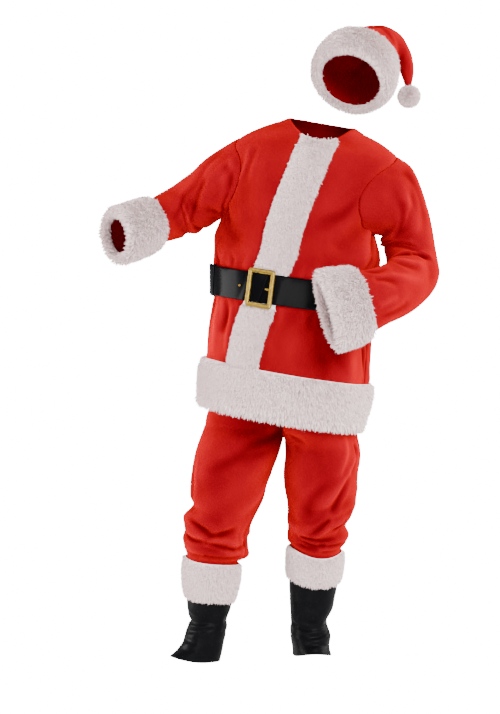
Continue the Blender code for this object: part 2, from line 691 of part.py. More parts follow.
def pressed(place):
    """0 where the front band stands free, 1 where the belt presses it."""
    if place < BELT_LOW:
        return smooth_step((place - BELT_LOW + BELT_EASE) / BELT_EASE)
    return smooth_step((BELT_HIGH + BELT_EASE - place) / BELT_EASE)


def band_height(place):
    """How high the plush of the front band stands."""
    press = pressed(place)
    return PLUSH_FRONT * (1 - press) + PLUSH_PRESSED * press


def front_band():
    base = CLOTH + LIE
    inner, outer = [], []
    for place in BAND_PLACES:
        angles = band_edges(place)
        inner.append([BODY.at(angle, place, base) for angle in angles])
        outer.append([BODY.at(angle, place, base + plush_profile(k / 4, band_height(place), 0.45))
                      for k, angle in enumerate(angles)])
    wall("plush_front_band", inner, outer, WHITE)


def hem_band():
    base = CLOTH + LIE
    low, high = HEM_PLACES[0], HEM_PLACES[-1]
    grids = []
    for plush in (0.0, PLUSH):
        grids.append([[BODY.at(angle, place,
                               base + plush_profile((place - low) / (high - low), plush))
                       for angle in round_columns(place)] for place in HEM_PLACES])
    wall("plush_hem_band", *grids, WHITE, closed=True)


# ---------------------------------------------------------------- sleeves and cuffs
SLEEVE_COLUMNS = 20
SLEEVE_ANGLES = [math.tau * k / SLEEVE_COLUMNS for k in range(SLEEVE_COLUMNS)]
SLEEVES = {
    "right": SectionSurface(SLEEVE_RIGHT, SLEEVE_FOLDS, 70.0, armhole_loop(-1), -1.0),
    "left": SectionSurface(SLEEVE_LEFT, SLEEVE_FOLDS, 70.0, armhole_loop(1), 1.0),
}
SLEEVE_STEP = 24.0        # length of sleeve between two rings


def sleeve_places(start, end):
    steps = max(3, round((end - start) / SLEEVE_STEP))
    return list(np.linspace(start, end, steps + 1))


STAND_CLEAR = 0.7         # keeps a sleeve's outer edge off the flat faces of its panel


def standing_edge(surface, side, angle):
    """The sleeve's outer edge on the armhole, kept clear of the panel under it."""
    loop = surface.first_loop
    start = loop(angle)
    place = ARMPIT + (SHOULDER_TIP - ARMPIT) * (1 + math.cos(angle)) / 2
    spread = ARMHOLE_SPREAD * math.sin(angle)
    panel_out = BODY.normal(spread if side > 0 else math.pi - spread, place)
    out = surface.normal(angle, 0.0)
    out = unit(out - min(0.0, float(out @ panel_out)) * panel_out)
    return start + out * CLOTH + panel_out * STAND_CLEAR


def sleeve(name, which, side):
    surface = SLEEVES[which]
    end = surface.length - CUFF_BEYOND
    cuff_start = surface.length - CUFF_LENGTH[which]
    places = sleeve_places(0.0, cuff_start) + cuff_places(which)[1:-1] + [end]
    inner = [[surface.first_loop(angle) for angle in SLEEVE_ANGLES]]
    outer = [[standing_edge(surface, side, angle) for angle in SLEEVE_ANGLES]]
    for place in places[1:]:
        inner.append([surface.at(angle, place) for angle in SLEEVE_ANGLES])
        outer.append([surface.at(angle, place, CLOTH) for angle in SLEEVE_ANGLES])
    wall(name, inner, outer, RED, closed=True)


def cuff_places(which):
    end = SLEEVES[which].length
    return list(np.linspace(end - CUFF_LENGTH[which], end, 5))


def sleeve_cuff(name, which):
    surface = SLEEVES[which]
    places = cuff_places(which)
    base = CLOTH + LIE
    grids = []
    for plush in (0.0, PLUSH):
        grids.append([[surface.at(angle, place, base + plush_profile(k / 4, plush))
                       for angle in SLEEVE_ANGLES] for k, place in enumerate(places)])
    wall(name, *grids, WHITE, closed=True)


# ---------------------------------------------------------------- belt
def over_band(angle, place):
    """True on the columns of the front band."""
    edges = band_edges(place)
    return edges[0] - 1e-6 <= angle <= edges[-1] + 1e-6


def strap_base(angle, place):
    """How far the strap's back lies off the inner face of the jacket."""
    if over_band(angle, place):
        return CLOTH + LIE + PLUSH_PRESSED + LIE
    return CLOTH + LIE + STRAP_EASE


def belt_strap():
    grids = [[[BODY.at(angle, place, strap_base(angle, place) + out)
               for angle in round_columns(place)] for place in BELT_PLACES]
             for out in (0.0, STRAP)]
    wall("belt_strap", *grids, BLACK_BELT, closed=True)


def belt_free_end():
    """The strap's own end, doubled back over it from the buckle past the keeper."""
    base = STRAP + LIE
    grids = []
    for out in (0.0, STRAP):
        grids.append([])
        for place in BELT_PLACES:
            angles = [front_angle(place)] + front_columns(place, -1)[1:SIDE_STEPS + 2]
            grids[-1].append([BODY.at(angle, place, strap_base(angle, place) + base + out)
                              for angle in angles])
    wall("belt_free_end", *grids, BLACK_BELT)


def belt_keeper():
    """A loop round the strap and its free end, between two columns of the front."""
    near = CLOTH + STRAP_EASE
    far = CLOTH + STRAP_EASE + 2 * STRAP + 3 * LIE
    grids = []
    for grow in (0.0, KEEPER_THICK):
        low, middle, high = BELT_PLACES[0] - LIE - grow, BELT_PLACES[1], BELT_PLACES[2] + LIE + grow
        loop = [(far + grow, place) for place in (low, middle, high)]
        loop += [(near - grow * KEEPER_BACK, place) for place in (high, middle, low)]
        grids.append([[BODY.at(front_columns(place, -1)[column], place, out) for out, place in loop]
                      for column in (SIDE_STEPS - 1, SIDE_STEPS)])
    wall("belt_keeper", *grids, BLACK_BELT, closed=True)


def buckle_frame():
    """The buckle's middle and its three directions: across, up and out."""
    place = (BELT_LOW + BELT_HIGH) / 2
    low, high = math.radians(60), math.radians(165)
    for _ in range(40):
        angle = (low + high) / 2
        if BODY.bare(angle, place)[0] > BUCKLE_X:
            low = angle
        else:
            high = angle
    out = BODY.normal(angle, place)
    out = unit(out * np.array([1.0, 1.0, 0.0]))
    level = unit(np.cross(np.array([0.0, 0.0, 1.0]), out))
    tilt = math.radians(BUCKLE_TILT)
    across = level * math.cos(tilt) - np.array([0.0, 0.0, 1.0]) * math.sin(tilt)
    up = np.cross(out, across)
    height = CLOTH + PLUSH_PRESSED + 4 * LIE + 2 * STRAP - BUCKLE_SEAT
    return BODY.bare(angle, place) + out * height, across, up, out


def buckle_block(name, middle, axes, sizes, finish, bevel, cut=None):
    """A bevelled block set on the buckle's directions, with an optional window."""
    body = bmesh.new()
    across, up, out = axes
    width, height, thick = sizes
    loops = []
    outlines = [(width, height)] + ([cut] if cut else [])
    for wide, tall in outlines:
        for lift in (0.0, thick):
            loops.append([body.verts.new(Vector(middle + across * wide / 2 * i + up * tall / 2 * j
                                                + out * lift) * MM)
                          for i, j in ((-1, -1), (1, -1), (1, 1), (-1, 1))])
    pairs = [(0, 1)] + ([(2, 3), (0, 2), (1, 3)] if cut else [])
    for first, second in pairs:
        for k in range(4):
            after = (k + 1) % 4
            body.faces.new((loops[first][k], loops[first][after],
                            loops[second][after], loops[second][k]))
    if not cut:
        body.faces.new(loops[0])
        body.faces.new(loops[1])
    bmesh.ops.recalc_face_normals(body, faces=body.faces[:])
    bmesh.ops.bevel(body, geom=body.edges[:], offset=bevel * MM, affect="EDGES", segments=1,
                    profile=0.5, material=-1)
    return finish_mesh(name, body, finish)


def buckle():
    middle, across, up, out = buckle_frame()
    axes = (across, up, out)
    window = (BUCKLE_WIDTH - 2 * BUCKLE_BAR, BUCKLE_HEIGHT - 2 * BUCKLE_BAR)
    buckle_block("belt_buckle", middle, axes, (BUCKLE_WIDTH, BUCKLE_HEIGHT, BUCKLE_THICK),
                 GOLD, 1.2, window)
    reach = window[0] / 2 - PRONG_LENGTH / 2 - SEAM
    buckle_block("belt_prong", middle + across * reach, axes,
                 (PRONG_LENGTH, PRONG_WIDTH, BUCKLE_THICK * 0.6), GOLD, 0.8)


def rivet():
    """A domed rivet through the free end, beside the buckle."""
    place = (BELT_LOW + BELT_HIGH) / 2
    column = 3
    angles = front_columns(place, -1)
    angle = (angles[column - 1] + angles[column]) / 2
    lift = strap_base(angle, place) + 2 * STRAP + 2 * LIE + SEAM
    ends = [BODY.at(angles[k], place, lift) for k in (column - 1, column)]
    middle = (ends[0] + ends[1]) / 2
    out = BODY.normal(angle, place)
    body = bmesh.new()
    bmesh.ops.create_cone(body, cap_ends=True, segments=10, radius1=RIVET_RADIUS * MM,
                          radius2=RIVET_RADIUS * 0.55 * MM, depth=1.6 * MM)
    turn = Vector((0, 0, 1)).rotation_difference(Vector(out)).to_matrix()
    bmesh.ops.rotate(body, verts=body.verts[:], cent=(0, 0, 0), matrix=turn)
    bmesh.ops.translate(body, verts=body.verts[:], vec=Vector(middle + out * RIVET_LIFT) * MM)
    finish_mesh("belt_rivet", body, GOLD)


# ---------------------------------------------------------------- trousers and boot tops
LEG_STEPS = 8             # columns of one trouser panel, and of half a boot top
LEGS = {
    "right": LegSurface(leg_rows(LEG_RIGHT, BOOT_RIGHT, THIGH_HALF_RIGHT, TUCK_RIGHT, -1), False),
    "left": LegSurface(leg_rows(LEG_LEFT, BOOT_LEFT, THIGH_HALF_LEFT, TUCK_LEFT, 1), True, LEFT_FOLD_RISE),
}
BOOTS = {
    "right": RingSurface(BOOT_RIGHT, BOOT_FOLDS, 50.0),
    "left": RingSurface(BOOT_LEFT, BOOT_FOLDS, 50.0),
}
HIP_PLACES = (CROTCH + 12, CROTCH + 30, CROTCH + 54, CROTCH + 82, CROTCH + RISE_BLEND,
              -570.0, -512.0, HIPS[-1].z)


def leg_places(which):
    """Every row of a leg from its tucked end to the waist."""
    places = [float(place) for place in LEGS[which].table.places]
    middles = [(a + b) / 2 for a, b in zip(places, places[1:]) if b - a > 30]
    return sorted(places + middles) + list(HIP_PLACES)


def trouser_panel(name, which, back):
    surface = LEGS[which]
    start = math.pi if back else 0.0
    grids = []
    for out in (0.0, CLOTH):
        grids.append([])
        for place in leg_places(which):
            row = []
            for k in range(LEG_STEPS + 1):
                angle = start + math.pi * k / LEG_STEPS
                gap = SEAM / 2 / 85.0
                angle += gap if k == 0 else -gap if k == LEG_STEPS else 0.0
                row.append(surface.behind_seam(surface.at(angle, place, out)))
            grids[-1].append(row)
    wall(name, *grids, RED)


def boot_angles():
    return [math.tau * k / (2 * LEG_STEPS) for k in range(2 * LEG_STEPS)]


def boot_cuff_places(which):
    low, high = BOOT_CUFF_RIGHT if which == "right" else BOOT_CUFF_LEFT
    return list(np.linspace(low, high, 4))


def boot_places(which):
    rows = BOOT_RIGHT if which == "right" else BOOT_LEFT
    cuff = boot_cuff_places(which)
    return [row.z for row in rows if row.z < cuff[0] - LIE] + cuff


def boot_top(name, which):
    surface = BOOTS[which]
    grids = [[[surface.at(angle, place, out) for angle in boot_angles()]
              for place in boot_places(which)] for out in (0.0, VINYL)]
    wall(name, *grids, BLACK_BOOT, closed=True)


def boot_cuff(name, which):
    surface = BOOTS[which]
    base = VINYL + LIE
    grids = []
    for plush in (0.0, PLUSH_BOOT):
        grids.append([[surface.at(angle, place, base + plush_profile(k / 3, plush))
                       for angle in boot_angles()] for k, place in enumerate(boot_cuff_places(which))])
    wall(name, *grids, WHITE, closed=True)


# ---------------------------------------------------------------- hat
HAT_ROWS = [row._replace(x=row.x + HAT_X, y=row.y + HAT_Y, z=row.z + HAT_Z) for row in HAT]
HAT_SURFACE = SectionSurface(HAT_ROWS, (), 90.0)
HAT_COLUMNS = 18
HAT_ANGLES = [math.tau * k / HAT_COLUMNS for k in range(HAT_COLUMNS)]
BRIM_STEPS = 4


def hat_cone():
    surface = HAT_SURFACE
    brim = list(np.linspace(0.0, BRIM_HEIGHT, BRIM_STEPS + 1))
    above = list(np.linspace(BRIM_HEIGHT, surface.length, 10))[1:]
    grids = [[[surface.at(angle, place, out) for angle in HAT_ANGLES]
              for place in brim + above] for out in (0.0, CLOTH)]
    wall("hat_cone", *grids, RED, closed=True)


def hat_brim():
    base = CLOTH + LIE
    grids = []
    for plush in (0.0, BRIM_PLUSH):
        grids.append([[HAT_SURFACE.at(angle, BRIM_HEIGHT * k / BRIM_STEPS,
                                      base + plush_profile(k / BRIM_STEPS, plush, 0.45))
                       for angle in HAT_ANGLES] for k in range(BRIM_STEPS + 1)])
    wall("hat_brim", *grids, WHITE, closed=True)


def pompom():
    """A ball with a three-sided lock on each face but those under the hat's tip."""
    body = bmesh.new()
    bmesh.ops.create_icosphere(body, subdivisions=2, radius=POMPOM_CORE * MM)
    up = Vector((0, 0, 1))
    locks = [face for face in body.faces if face.normal.angle(up) > math.radians(42)]
    bmesh.ops.inset_individual(body, faces=locks, thickness=POMPOM_CORE * MM * POMPOM_ROOT * 0.1)
    for face in bmesh.ops.poke(body, faces=locks)["verts"]:
        face.co = face.co.normalized() * POMPOM_RADIUS * MM
    bmesh.ops.translate(body, verts=body.verts[:], vec=Vector(POMPOM) * MM)
    finish_mesh("hat_pompom", body, WHITE)


def main():
    for piece in list(bpy.data.objects):
        bpy.data.objects.remove(piece)
    jacket_panels()
    front_band()
    hem_band()
    for which, side in (("right", -1), ("left", 1)):
        sleeve("sleeve_" + which, which, side)
        sleeve_cuff("plush_cuff_" + which, which)
        trouser_panel("trouser_front_" + which, which, False)
        trouser_panel("trouser_back_" + which, which, True)
        boot_top("boot_top_" + which, which)
        boot_cuff("plush_boot_" + which, which)
    belt_strap()
    belt_free_end()
    belt_keeper()
    buckle()
    rivet()
    hat_cone()
    hat_brim()
    pompom()


main()
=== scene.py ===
"""Looks of a worn santa suit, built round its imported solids. Metres, +Z up.

Every garment piece is a thin cloth laid on the same tables of rings and sections
as its solid, read much finer, with softer folds, gathers and seams added. Plush
is a lining cloth with tufts grown on it. Tables are in millimetres and degrees.
"""
import logging
import math
from dataclasses import dataclass
from enum import Enum
from typing import Any, Callable, NamedTuple, Optional, Sequence

import bmesh
import bpy
import numpy as np
from mathutils import Matrix, Vector


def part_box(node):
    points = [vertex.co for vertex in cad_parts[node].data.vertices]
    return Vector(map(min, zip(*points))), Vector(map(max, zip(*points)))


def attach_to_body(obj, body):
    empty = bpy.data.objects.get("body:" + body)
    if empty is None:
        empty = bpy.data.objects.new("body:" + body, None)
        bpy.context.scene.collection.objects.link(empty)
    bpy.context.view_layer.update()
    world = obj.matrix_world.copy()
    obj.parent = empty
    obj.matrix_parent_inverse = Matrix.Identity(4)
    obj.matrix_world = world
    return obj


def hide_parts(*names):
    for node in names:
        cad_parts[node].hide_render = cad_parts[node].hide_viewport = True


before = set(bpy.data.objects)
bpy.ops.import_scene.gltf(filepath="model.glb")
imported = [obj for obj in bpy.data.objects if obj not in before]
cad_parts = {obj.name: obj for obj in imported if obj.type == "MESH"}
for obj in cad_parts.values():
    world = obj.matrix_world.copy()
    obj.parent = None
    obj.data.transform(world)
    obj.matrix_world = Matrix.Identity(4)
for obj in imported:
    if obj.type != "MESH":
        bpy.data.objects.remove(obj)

log = logging.getLogger("santa_suit")
logging.basicConfig(level=logging.INFO, format="%(name)s: %(message)s")

Points = np.ndarray                            # numbers or points at many spots
Lift = Callable[[Points, Points], Points]      # a number at each angle and place
Loop = Callable[[Points], Points]              # a point at each angle
Tree = bpy.types.NodeTree
Node = bpy.types.Node
Socket = bpy.types.NodeSocket
Tone = tuple[float, float, float]
Inputs = dict[Any, Any]


class Side(Enum):
    """The wearer's two sides."""

    RIGHT = "right"
    LEFT = "left"

    @property
    def sign(self) -> int:
        """+1 towards +X."""
        return 1 if self is Side.LEFT else -1


# ---------------- shared sizes
MM = 0.001
MERGE = 1e-6              # metres within which points are one
CLOTH = 2.0               # wall of the velour
VINYL = 1.8
STRAP = 2.6
LINING = 1.6
SEAM = 0.3
SEWN = 0.04               # what is left open between two sewn cloths
LIE = 0.5                 # clear gap under what lies on a panel
PLUSH = 17.0              # standing height of the plush on hem and cuffs
PLUSH_FRONT = 13.0
PLUSH_PRESSED = 4.0
PLUSH_BOOT = 9.0
BAND_HALF = 45.0
BAND_TOP = -572.0
BAND_CLEAR = 3.0
BELT_LOW = -402.0
BELT_HIGH = -326.0
BELT_EASE = 28.0
ARMPIT = -196.0
SHOULDER_TIP = 2.0
ARMHOLE_SPREAD = 0.66
CROTCH = -722.0
CROTCH_X = -95.0
CROTCH_Y = 10.0
HIP_TURN = 20.0
RISE_BLEND = 105.0
THIGH_HALF = {Side.RIGHT: 104.0, Side.LEFT: 93.0}
TUCK = {Side.RIGHT: (-1064.0, -1106.0), Side.LEFT: (-1029.0, -1080.0)}
LEG_RISE = {Side.RIGHT: 0.0, Side.LEFT: 32.0}    # how much higher the large folds lie
BACK_FOLD_RISE = 28.0                            # the left leg's, over the right one's
BOOT_CUFF = {Side.RIGHT: (-1168.0, -1070.0), Side.LEFT: (-1112.0, -1035.0)}
CUFF_LENGTH = {Side.RIGHT: 112.0, Side.LEFT: 86.0}
CUFF_BEYOND = 10.0
HAT_MIDDLE = (78.0, 12.0, 180.0)
BRIM_HEIGHT = 84.0
BRIM_PLUSH = 24.0
POMPOM = (235.6, 110.0, 142.6)
POMPOM_CORE = 19.0
BUCKLE_X = -151.0
BUCKLE_TILT = 8.0
BUCKLE_SEAT = 0.9
STRAP_EASE = 3.0
BODY_RADIUS = 180.0       # about how wide each tube is, which turns angles into lengths
LEG_RADIUS = 85.0
BOOT_RADIUS = 50.0
SLEEVE_RADIUS = 70.0
HAT_RADIUS = 90.0
OPENING_RANGE = (math.radians(60), math.radians(165))    # where the front opening is looked for
HALVINGS = 40


# ---------------- rows of the tables
class Ring(NamedTuple):
    """A level ring round the body or a leg; its place is its own height z."""

    z: float
    x: float
    y: float
    half: float
    front: float
    back: float
    tilt: float
    turn: float
    dip: float = 0
    lift: float = 0
    square: float = 2.1


class Section(NamedTuple):
    """A section square to a sleeve's or the hat's own line."""

    x: float
    y: float
    z: float
    cap_x: float
    cap_y: float
    cap_z: float
    half_cap: float
    half_side: float


class Fold(NamedTuple):
    """A soft crease between two places on a surface; depth is minus for a trough."""

    angle_from: float
    place_from: float
    angle_to: float
    place_to: float
    width: float
    depth: float


def rings(**rows: tuple[float, ...]) -> tuple[Ring, ...]:
    """Named rings: a Ring's numbers in order, its last ones only where they differ."""
    return tuple(Ring(*row) for row in rows.values())


def sections(**rows: tuple[float, ...]) -> tuple[Section, ...]:
    """Named sections: middle x y z, direction of the cap x y z, half cap, half side."""
    return tuple(Section(*row) for row in rows.values())


def folds(**rows: tuple[float, ...]) -> tuple[Fold, ...]:
    """Named folds: angle and place from, angle and place to, width, depth."""
    return tuple(Fold(*row) for row in rows.values())


def raised(rows: Sequence[Fold], rise: float) -> tuple[Fold, ...]:
    """The same folds further up."""
    return tuple(row._replace(place_from=row.place_from + rise, place_to=row.place_to + rise)
                 for row in rows)


# ---------------- rings and sections
JACKET = rings(
    hem=(-676, -101, 8, 208, 168, 154, 9, 24, 0, 0, 2.15),
    band_top=(-572, -85, 6, 216, 172, 152, 9, 24, 0, 0, 2.15),
    skirt=(-484, -78, 5, 213, 172, 150, 8, 23, 0, 0, 2.15),
    belt_low=(-402, -71, 4, 206, 164, 146, 7.5, 21, 0, 0, 2.2),
    belt_high=(-326, -67, 3, 208, 163, 145, 7.5, 20, 0, 0, 2.2),
    belly=(-265, -56, 2, 212, 158, 143, 7, 17, 0, 0, 2.2),
    armpit=(-188, -55, 0, 194, 148, 140, 6.5, 14, 0, 0, 2.25),
    chest=(-120, -43, 0, 190, 138, 132, 7, 12, 0, 0, 2.3),
    yoke=(-55, -24, 0, 200, 122, 118, 7, 11, 2, 0, 2.35),
    tip=(2, -7, 2, 204, 101, 100, 7, 10, 8, 2, 2.3),
    slope=(33, 0, 4, 156, 94, 84, 8, 10, 28, 4, 2.15),
    collar=(54, 4, 5, 108, 87, 70, 9.5, 10, 43, 4, 2.05),
    neck=(66, 5, 5, 82, 82, 60, 10, 10, 49, 2, 2),
)

FRONT_SHIFT = (           # how far the front opening lies to the wearer's right
    (-676, 126), (-572, 118), (-484, 106), (-402, 86), (-326, 63),
    (-255, 50), (-182, 34), (-120, 23), (-55, 16), (2, 12), (62, 10),
)

JACKET_FOLDS = folds(
    right_armpit_drag=(165, -170, 128, -250, 20, -7),
    right_armpit_swell=(172, -205, 140, -290, 22, 5),
    left_armpit_drag=(18, -165, 50, -235, 20, -7),
    left_armpit_swell=(12, -205, 42, -285, 22, 5),
    right_chest_soft=(140, -70, 118, -190, 24, -4),
    left_chest_soft=(42, -80, 62, -190, 24, -4),
    skirt_right_flute=(150, -415, 156, -560, 20, -6),
    skirt_right_swell=(133, -420, 140, -560, 18, 4.5),
    skirt_left_flute=(52, -415, 46, -550, 22, -6),
    skirt_left_swell=(30, -415, 24, -560, 22, 5),
    skirt_side_flute=(5, -415, 2, -560, 22, -6),
    back_right_flute=(215, -415, 212, -560, 24, -7),
    back_mid_swell=(262, -415, 264, -560, 30, 5),
    back_left_flute=(312, -415, 316, -560, 24, -7),
    back_right_blouse=(222, -316, 240, -215, 24, 6),
    back_left_blouse=(322, -316, 300, -215, 24, 6),
    back_mid_hollow=(270, -300, 268, -150, 30, -6),
    back_right_shoulder=(205, -120, 235, -60, 26, -5),
    back_left_shoulder=(335, -120, 305, -60, 26, -5),
    waist_right_blouse=(150, -316, 158, -240, 24, 5),
    waist_left_blouse=(32, -316, 24, -240, 24, 5),
)

HIPS = rings(
    hip_low=(-722, -92.8, 10, 186, 126, 128, 0, 20),
    seat=(-640, -91.2, 9, 185, 130, 126, 0, 20),
    hip=(-560, -86, 7, 182, 130, 122, 0, 20),
    waist=(-455, -80, 6, 172, 130, 116, 0, 20),
)

LEG = {
    Side.RIGHT: rings(
        thigh=(-778, -212, 12, 106, 106, 108, 3, 12),
        mid_thigh=(-852, -234, 10, 99, 100, 104, 3, 14),
        knee=(-906, -243, 4, 92, 94, 98, 4, 18, 2),
        knee_pinch=(-942, -253, 2, 83, 88, 90, 6, 20, 4),
        blouse=(-962, -266, 2, 87, 90, 92, 6, 22, 4),
        dent=(-990, -271, 4, 80, 84, 86, 8, 24, 6),
        puff=(-1022, -272, 6, 84, 86, 88, 9, 26, 6),
        droop=(-1046, -270, 8, 80, 82, 84, 10, 32, 6),
    ),
    Side.LEFT: rings(
        thigh=(-778, 8, -4, 95, 104, 106, 3, 12),
        mid_thigh=(-838, 2, -10, 95, 100, 104, 2, 8),
        knee=(-888, 3, -14, 92, 96, 98, 2, 4, 4),
        knee_pinch=(-930, 3, -16, 85, 90, 92, 0, 0, 8),
        blouse=(-958, -3, -18, 80, 88, 90, -2, -2, 12),
        dent=(-980, -8, -18, 73, 80, 82, -2, -4, 16),
        puff=(-1000, -5, -18, 78, 80, 84, -1, -6, 18),
        droop=(-1016, -8, -18, 73, 74, 78, 0, -6, 18),
    ),
}

LEG_FOLDS = folds(
    knee_drag_out=(170, -925, 70, -960, 13, -6),
    shin_drag_out=(150, -968, 40, -990, 12, -6),
    shin_roll=(130, -985, 30, -1008, 13, 5),
    ankle_drag=(160, -1005, 50, -1032, 12, -6),
    calf_drag=(205, -935, 320, -962, 15, -7),
    calf_roll=(200, -962, 330, -990, 15, 5),
    calf_low_drag=(215, -995, 330, -1018, 14, -6),
    thigh_front_soft=(60, -770, 115, -880, 26, -5),
    thigh_back_soft=(300, -770, 240, -880, 26, -5),
    inseam_drag=(12, -735, 60, -800, 16, -5),
)

BOOT = {
    Side.RIGHT: rings(
        shoe_edge=(-1336, -312, 14, 50, 84, 48, 0, 62, -14, -4),
        instep=(-1310, -304, 14, 49, 66, 47, 2, 60, -6),
        ankle=(-1276, -299, 14, 49, 54, 48, 4, 56),
        slouch_low=(-1252, -294, 14, 50, 53, 50, 6, 54, 2),
        slouch_dent=(-1228, -291, 14, 47, 50, 48, 8, 52, 4),
        slouch_top=(-1208, -291, 14, 50, 54, 52, 9, 50, 5),
        calf=(-1160, -288, 13, 58, 60, 60, 10, 46, 6),
        cuff_low=(-1120, -285, 13, 65, 66, 66, 10, 42, 6, 0, 2),
        cuff_top=(-1070, -281, 12, 67, 68, 68, 10, 40, 6, 0, 2),
    ),
    Side.LEFT: rings(
        shoe_edge=(-1316, -20, -18, 48, 84, 48, 0, -6, -16, 4),
        instep=(-1290, -24, -18, 47, 68, 47, 0, -6, -6, 2),
        ankle=(-1264, -24, -18, 51, 60, 50, 0, -6, 2),
        slouch_low=(-1240, -28, -18, 48, 54, 50, 2, -6, 6),
        slouch_dent=(-1220, -28, -18, 47, 52, 50, 2, -6, 8),
        slouch_top=(-1190, -22, -18, 54, 58, 56, 3, -6, 10),
        calf=(-1150, -19, -18, 59, 62, 62, 4, -6, 12),
        cuff_low=(-1105, -15, -18, 63, 65, 65, 5, -6, 14, 0, 2),
        cuff_top=(-1035, -11, -18, 66, 68, 68, 6, -6, 18, 0, 2),
    ),
}

BOOT_FOLDS = folds(
    slouch_a=(10, -1228, 150, -1236, 9, -3.5),
    slouch_b=(60, -1256, 175, -1246, 9, -3),
    slouch_c=(190, -1232, 330, -1222, 10, -3.5),
    slouch_d=(215, -1262, 340, -1250, 9, -3),
)

SLEEVE = {
    Side.RIGHT: sections(
        upper=(-283, 52, -105, -0.16, -0.05, 0.98, 81, 76),
        mid_upper=(-313, 67, -130, -0.2, -0.03, 0.97, 75, 71),
        elbow_top=(-343, 75, -147, -0.23, 0.02, 0.97, 71, 66),
        elbow=(-372, 73, -162, -0.24, 0.06, 0.96, 66, 63),
        forearm=(-400, 59, -174, -0.24, 0.08, 0.96, 62, 60),
        wrist=(-428, 37, -186, -0.24, 0.1, 0.96, 58, 58),
        cuff_mid=(-470, 4, -203, -0.22, 0.1, 0.97, 58, 58),
        cuff_end=(-518, -38, -219, -0.2, 0.1, 0.97, 61, 60),
    ),
    Side.LEFT: sections(
        upper=(199, -38, -140, 0.43, -0.05, 0.9, 91, 74),
        mid_upper=(215, -34, -200, 0.84, -0.05, 0.54, 72, 70),
        elbow_top=(227, -30, -250, 0.99, -0.05, 0.02, 67, 66),
        elbow=(237, -58, -304, 0.86, 0.15, -0.45, 69, 60),
        forearm=(204, -130, -346, 0.52, -0.16, -0.84, 68, 52),
        wrist=(146, -190, -371, 0.3, -0.12, -0.94, 70, 46),
        cuff_mid=(88, -223, -388, 0.27, -0.08, -0.95, 80, 41),
        cuff_end=(20, -249, -403, 0.26, -0.06, -0.95, 91, 38),
    ),
}

SLEEVE_FOLDS = folds(
    cap_drag=(30, 40, 95, 120, 18, -5),
    cap_swell=(70, 45, 120, 105, 18, 4),
    armpit_drag=(150, 62, 100, 120, 16, -4.5),
    elbow_crush_a=(190, 128, 95, 156, 14, -5),
    elbow_crush_b=(195, 168, 100, 188, 14, -5),
    elbow_roll=(190, 148, 90, 172, 13, 4),
    forearm_soft=(140, 210, 60, 280, 16, -5),
    outer_soft=(340, 60, 290, 170, 20, -5),
    outer_low=(330, 200, 270, 280, 18, -5),
)

HAT = sections(
    opening=(0, 0, 0, 0.89, -0.02, -0.45, 90, 97),
    brim_mid=(15, 32, 29, 0.89, -0.02, -0.45, 90, 97),
    brim_top=(29, 62, 55, 0.89, -0.04, -0.45, 85, 92),
    crown=(56, 92, 74, 0.84, -0.18, -0.52, 70, 78),
    bend=(91, 114, 93, 0.64, -0.34, -0.69, 50, 63),
    fold=(124, 121, 84, 0.15, -0.5, -0.85, 36, 44),
    fall=(146, 116, 57, -0.5, -0.45, -0.74, 24, 29),
    hang=(154, 107, 22, -0.9, -0.3, -0.3, 15, 18),
    tip=(156, 98, -15, -0.96, -0.2, -0.1, 6, 6),
)


# ---------------- finer folds of the looks
JACKET_SOFT = folds(
    r_shoulder=(136, -12, 143, -118, 7, 3),
    r_shoulder_dip=(129, -20, 134, -104, 8, -2.6),
    r_pit_a=(160, -150, 136, -216, 8, -3.4),
    r_pit_b=(166, -188, 146, -262, 9, -2.8),
    r_waist_a=(148, -268, 140, -322, 6, -3.2),
    r_waist_b=(128, -292, 124, -324, 5, -2.6),
    r_waist_c=(166, -262, 158, -324, 8, -3),
    l_arm=(30, -100, 20, -186, 10, -5),
    l_under=(-7, -168, 22, -258, 11, -6),
    l_chest=(40, -112, 60, -176, 13, -2.6),
    l_blouse_a=(18, -262, 32, -322, 8, -3.4),
    l_blouse_b=(48, -290, 52, -324, 6, -2.6),
    l_blouse_c=(2, -258, 8, -322, 8, -3.2),
    r_skirt_dark=(127, -405, 125, -486, 8, -5),
    r_skirt_glow=(138, -406, 133, -546, 8, 5),
    r_skirt_edge=(120, -404, 119, -540, 6, 2.8),
    r_skirt_side=(165, -404, 168, -530, 9, -4),
    r_skirt_turn=(151, -404, 153, -500, 7, -3),
    l_skirt_mid=(74, -430, 76, -530, 14, -1.2),
    l_skirt_top=(58, -404, 60, -446, 7, -2.6),
    l_skirt_drag=(47, -450, 30, -540, 12, -2),
    l_skirt_side=(13, -455, 1, -548, 9, -5),
    l_skirt_edge=(22, -405, 18, -480, 7, 2.8),
    b_skirt_a=(196, -404, 193, -505, 9, -4),
    b_skirt_b=(234, -404, 236, -545, 10, -4.4),
    b_skirt_c=(284, -404, 288, -490, 9, -3.6),
    b_skirt_d=(338, -404, 342, -535, 10, -4.4),
    b_skirt_glow=(216, -404, 214, -530, 8, 3.2),
    b_skirt_glow_b=(310, -404, 314, -520, 8, 3.2),
    b_waist_a=(208, -264, 212, -322, 8, -3.4),
    b_waist_b=(250, -272, 252, -323, 7, -3),
    b_waist_c=(286, -258, 282, -322, 8, -3.4),
    b_waist_d=(330, -270, 334, -322, 8, -3),
    b_blade_r=(212, -130, 246, -232, 12, -4),
    b_blade_l=(326, -120, 296, -226, 12, -4),
    b_cross=(226, -70, 304, -64, 11, -2.8),
    b_arm_r=(196, -112, 206, -240, 11, -4),
    b_arm_l=(346, -108, 334, -240, 11, -4),
)
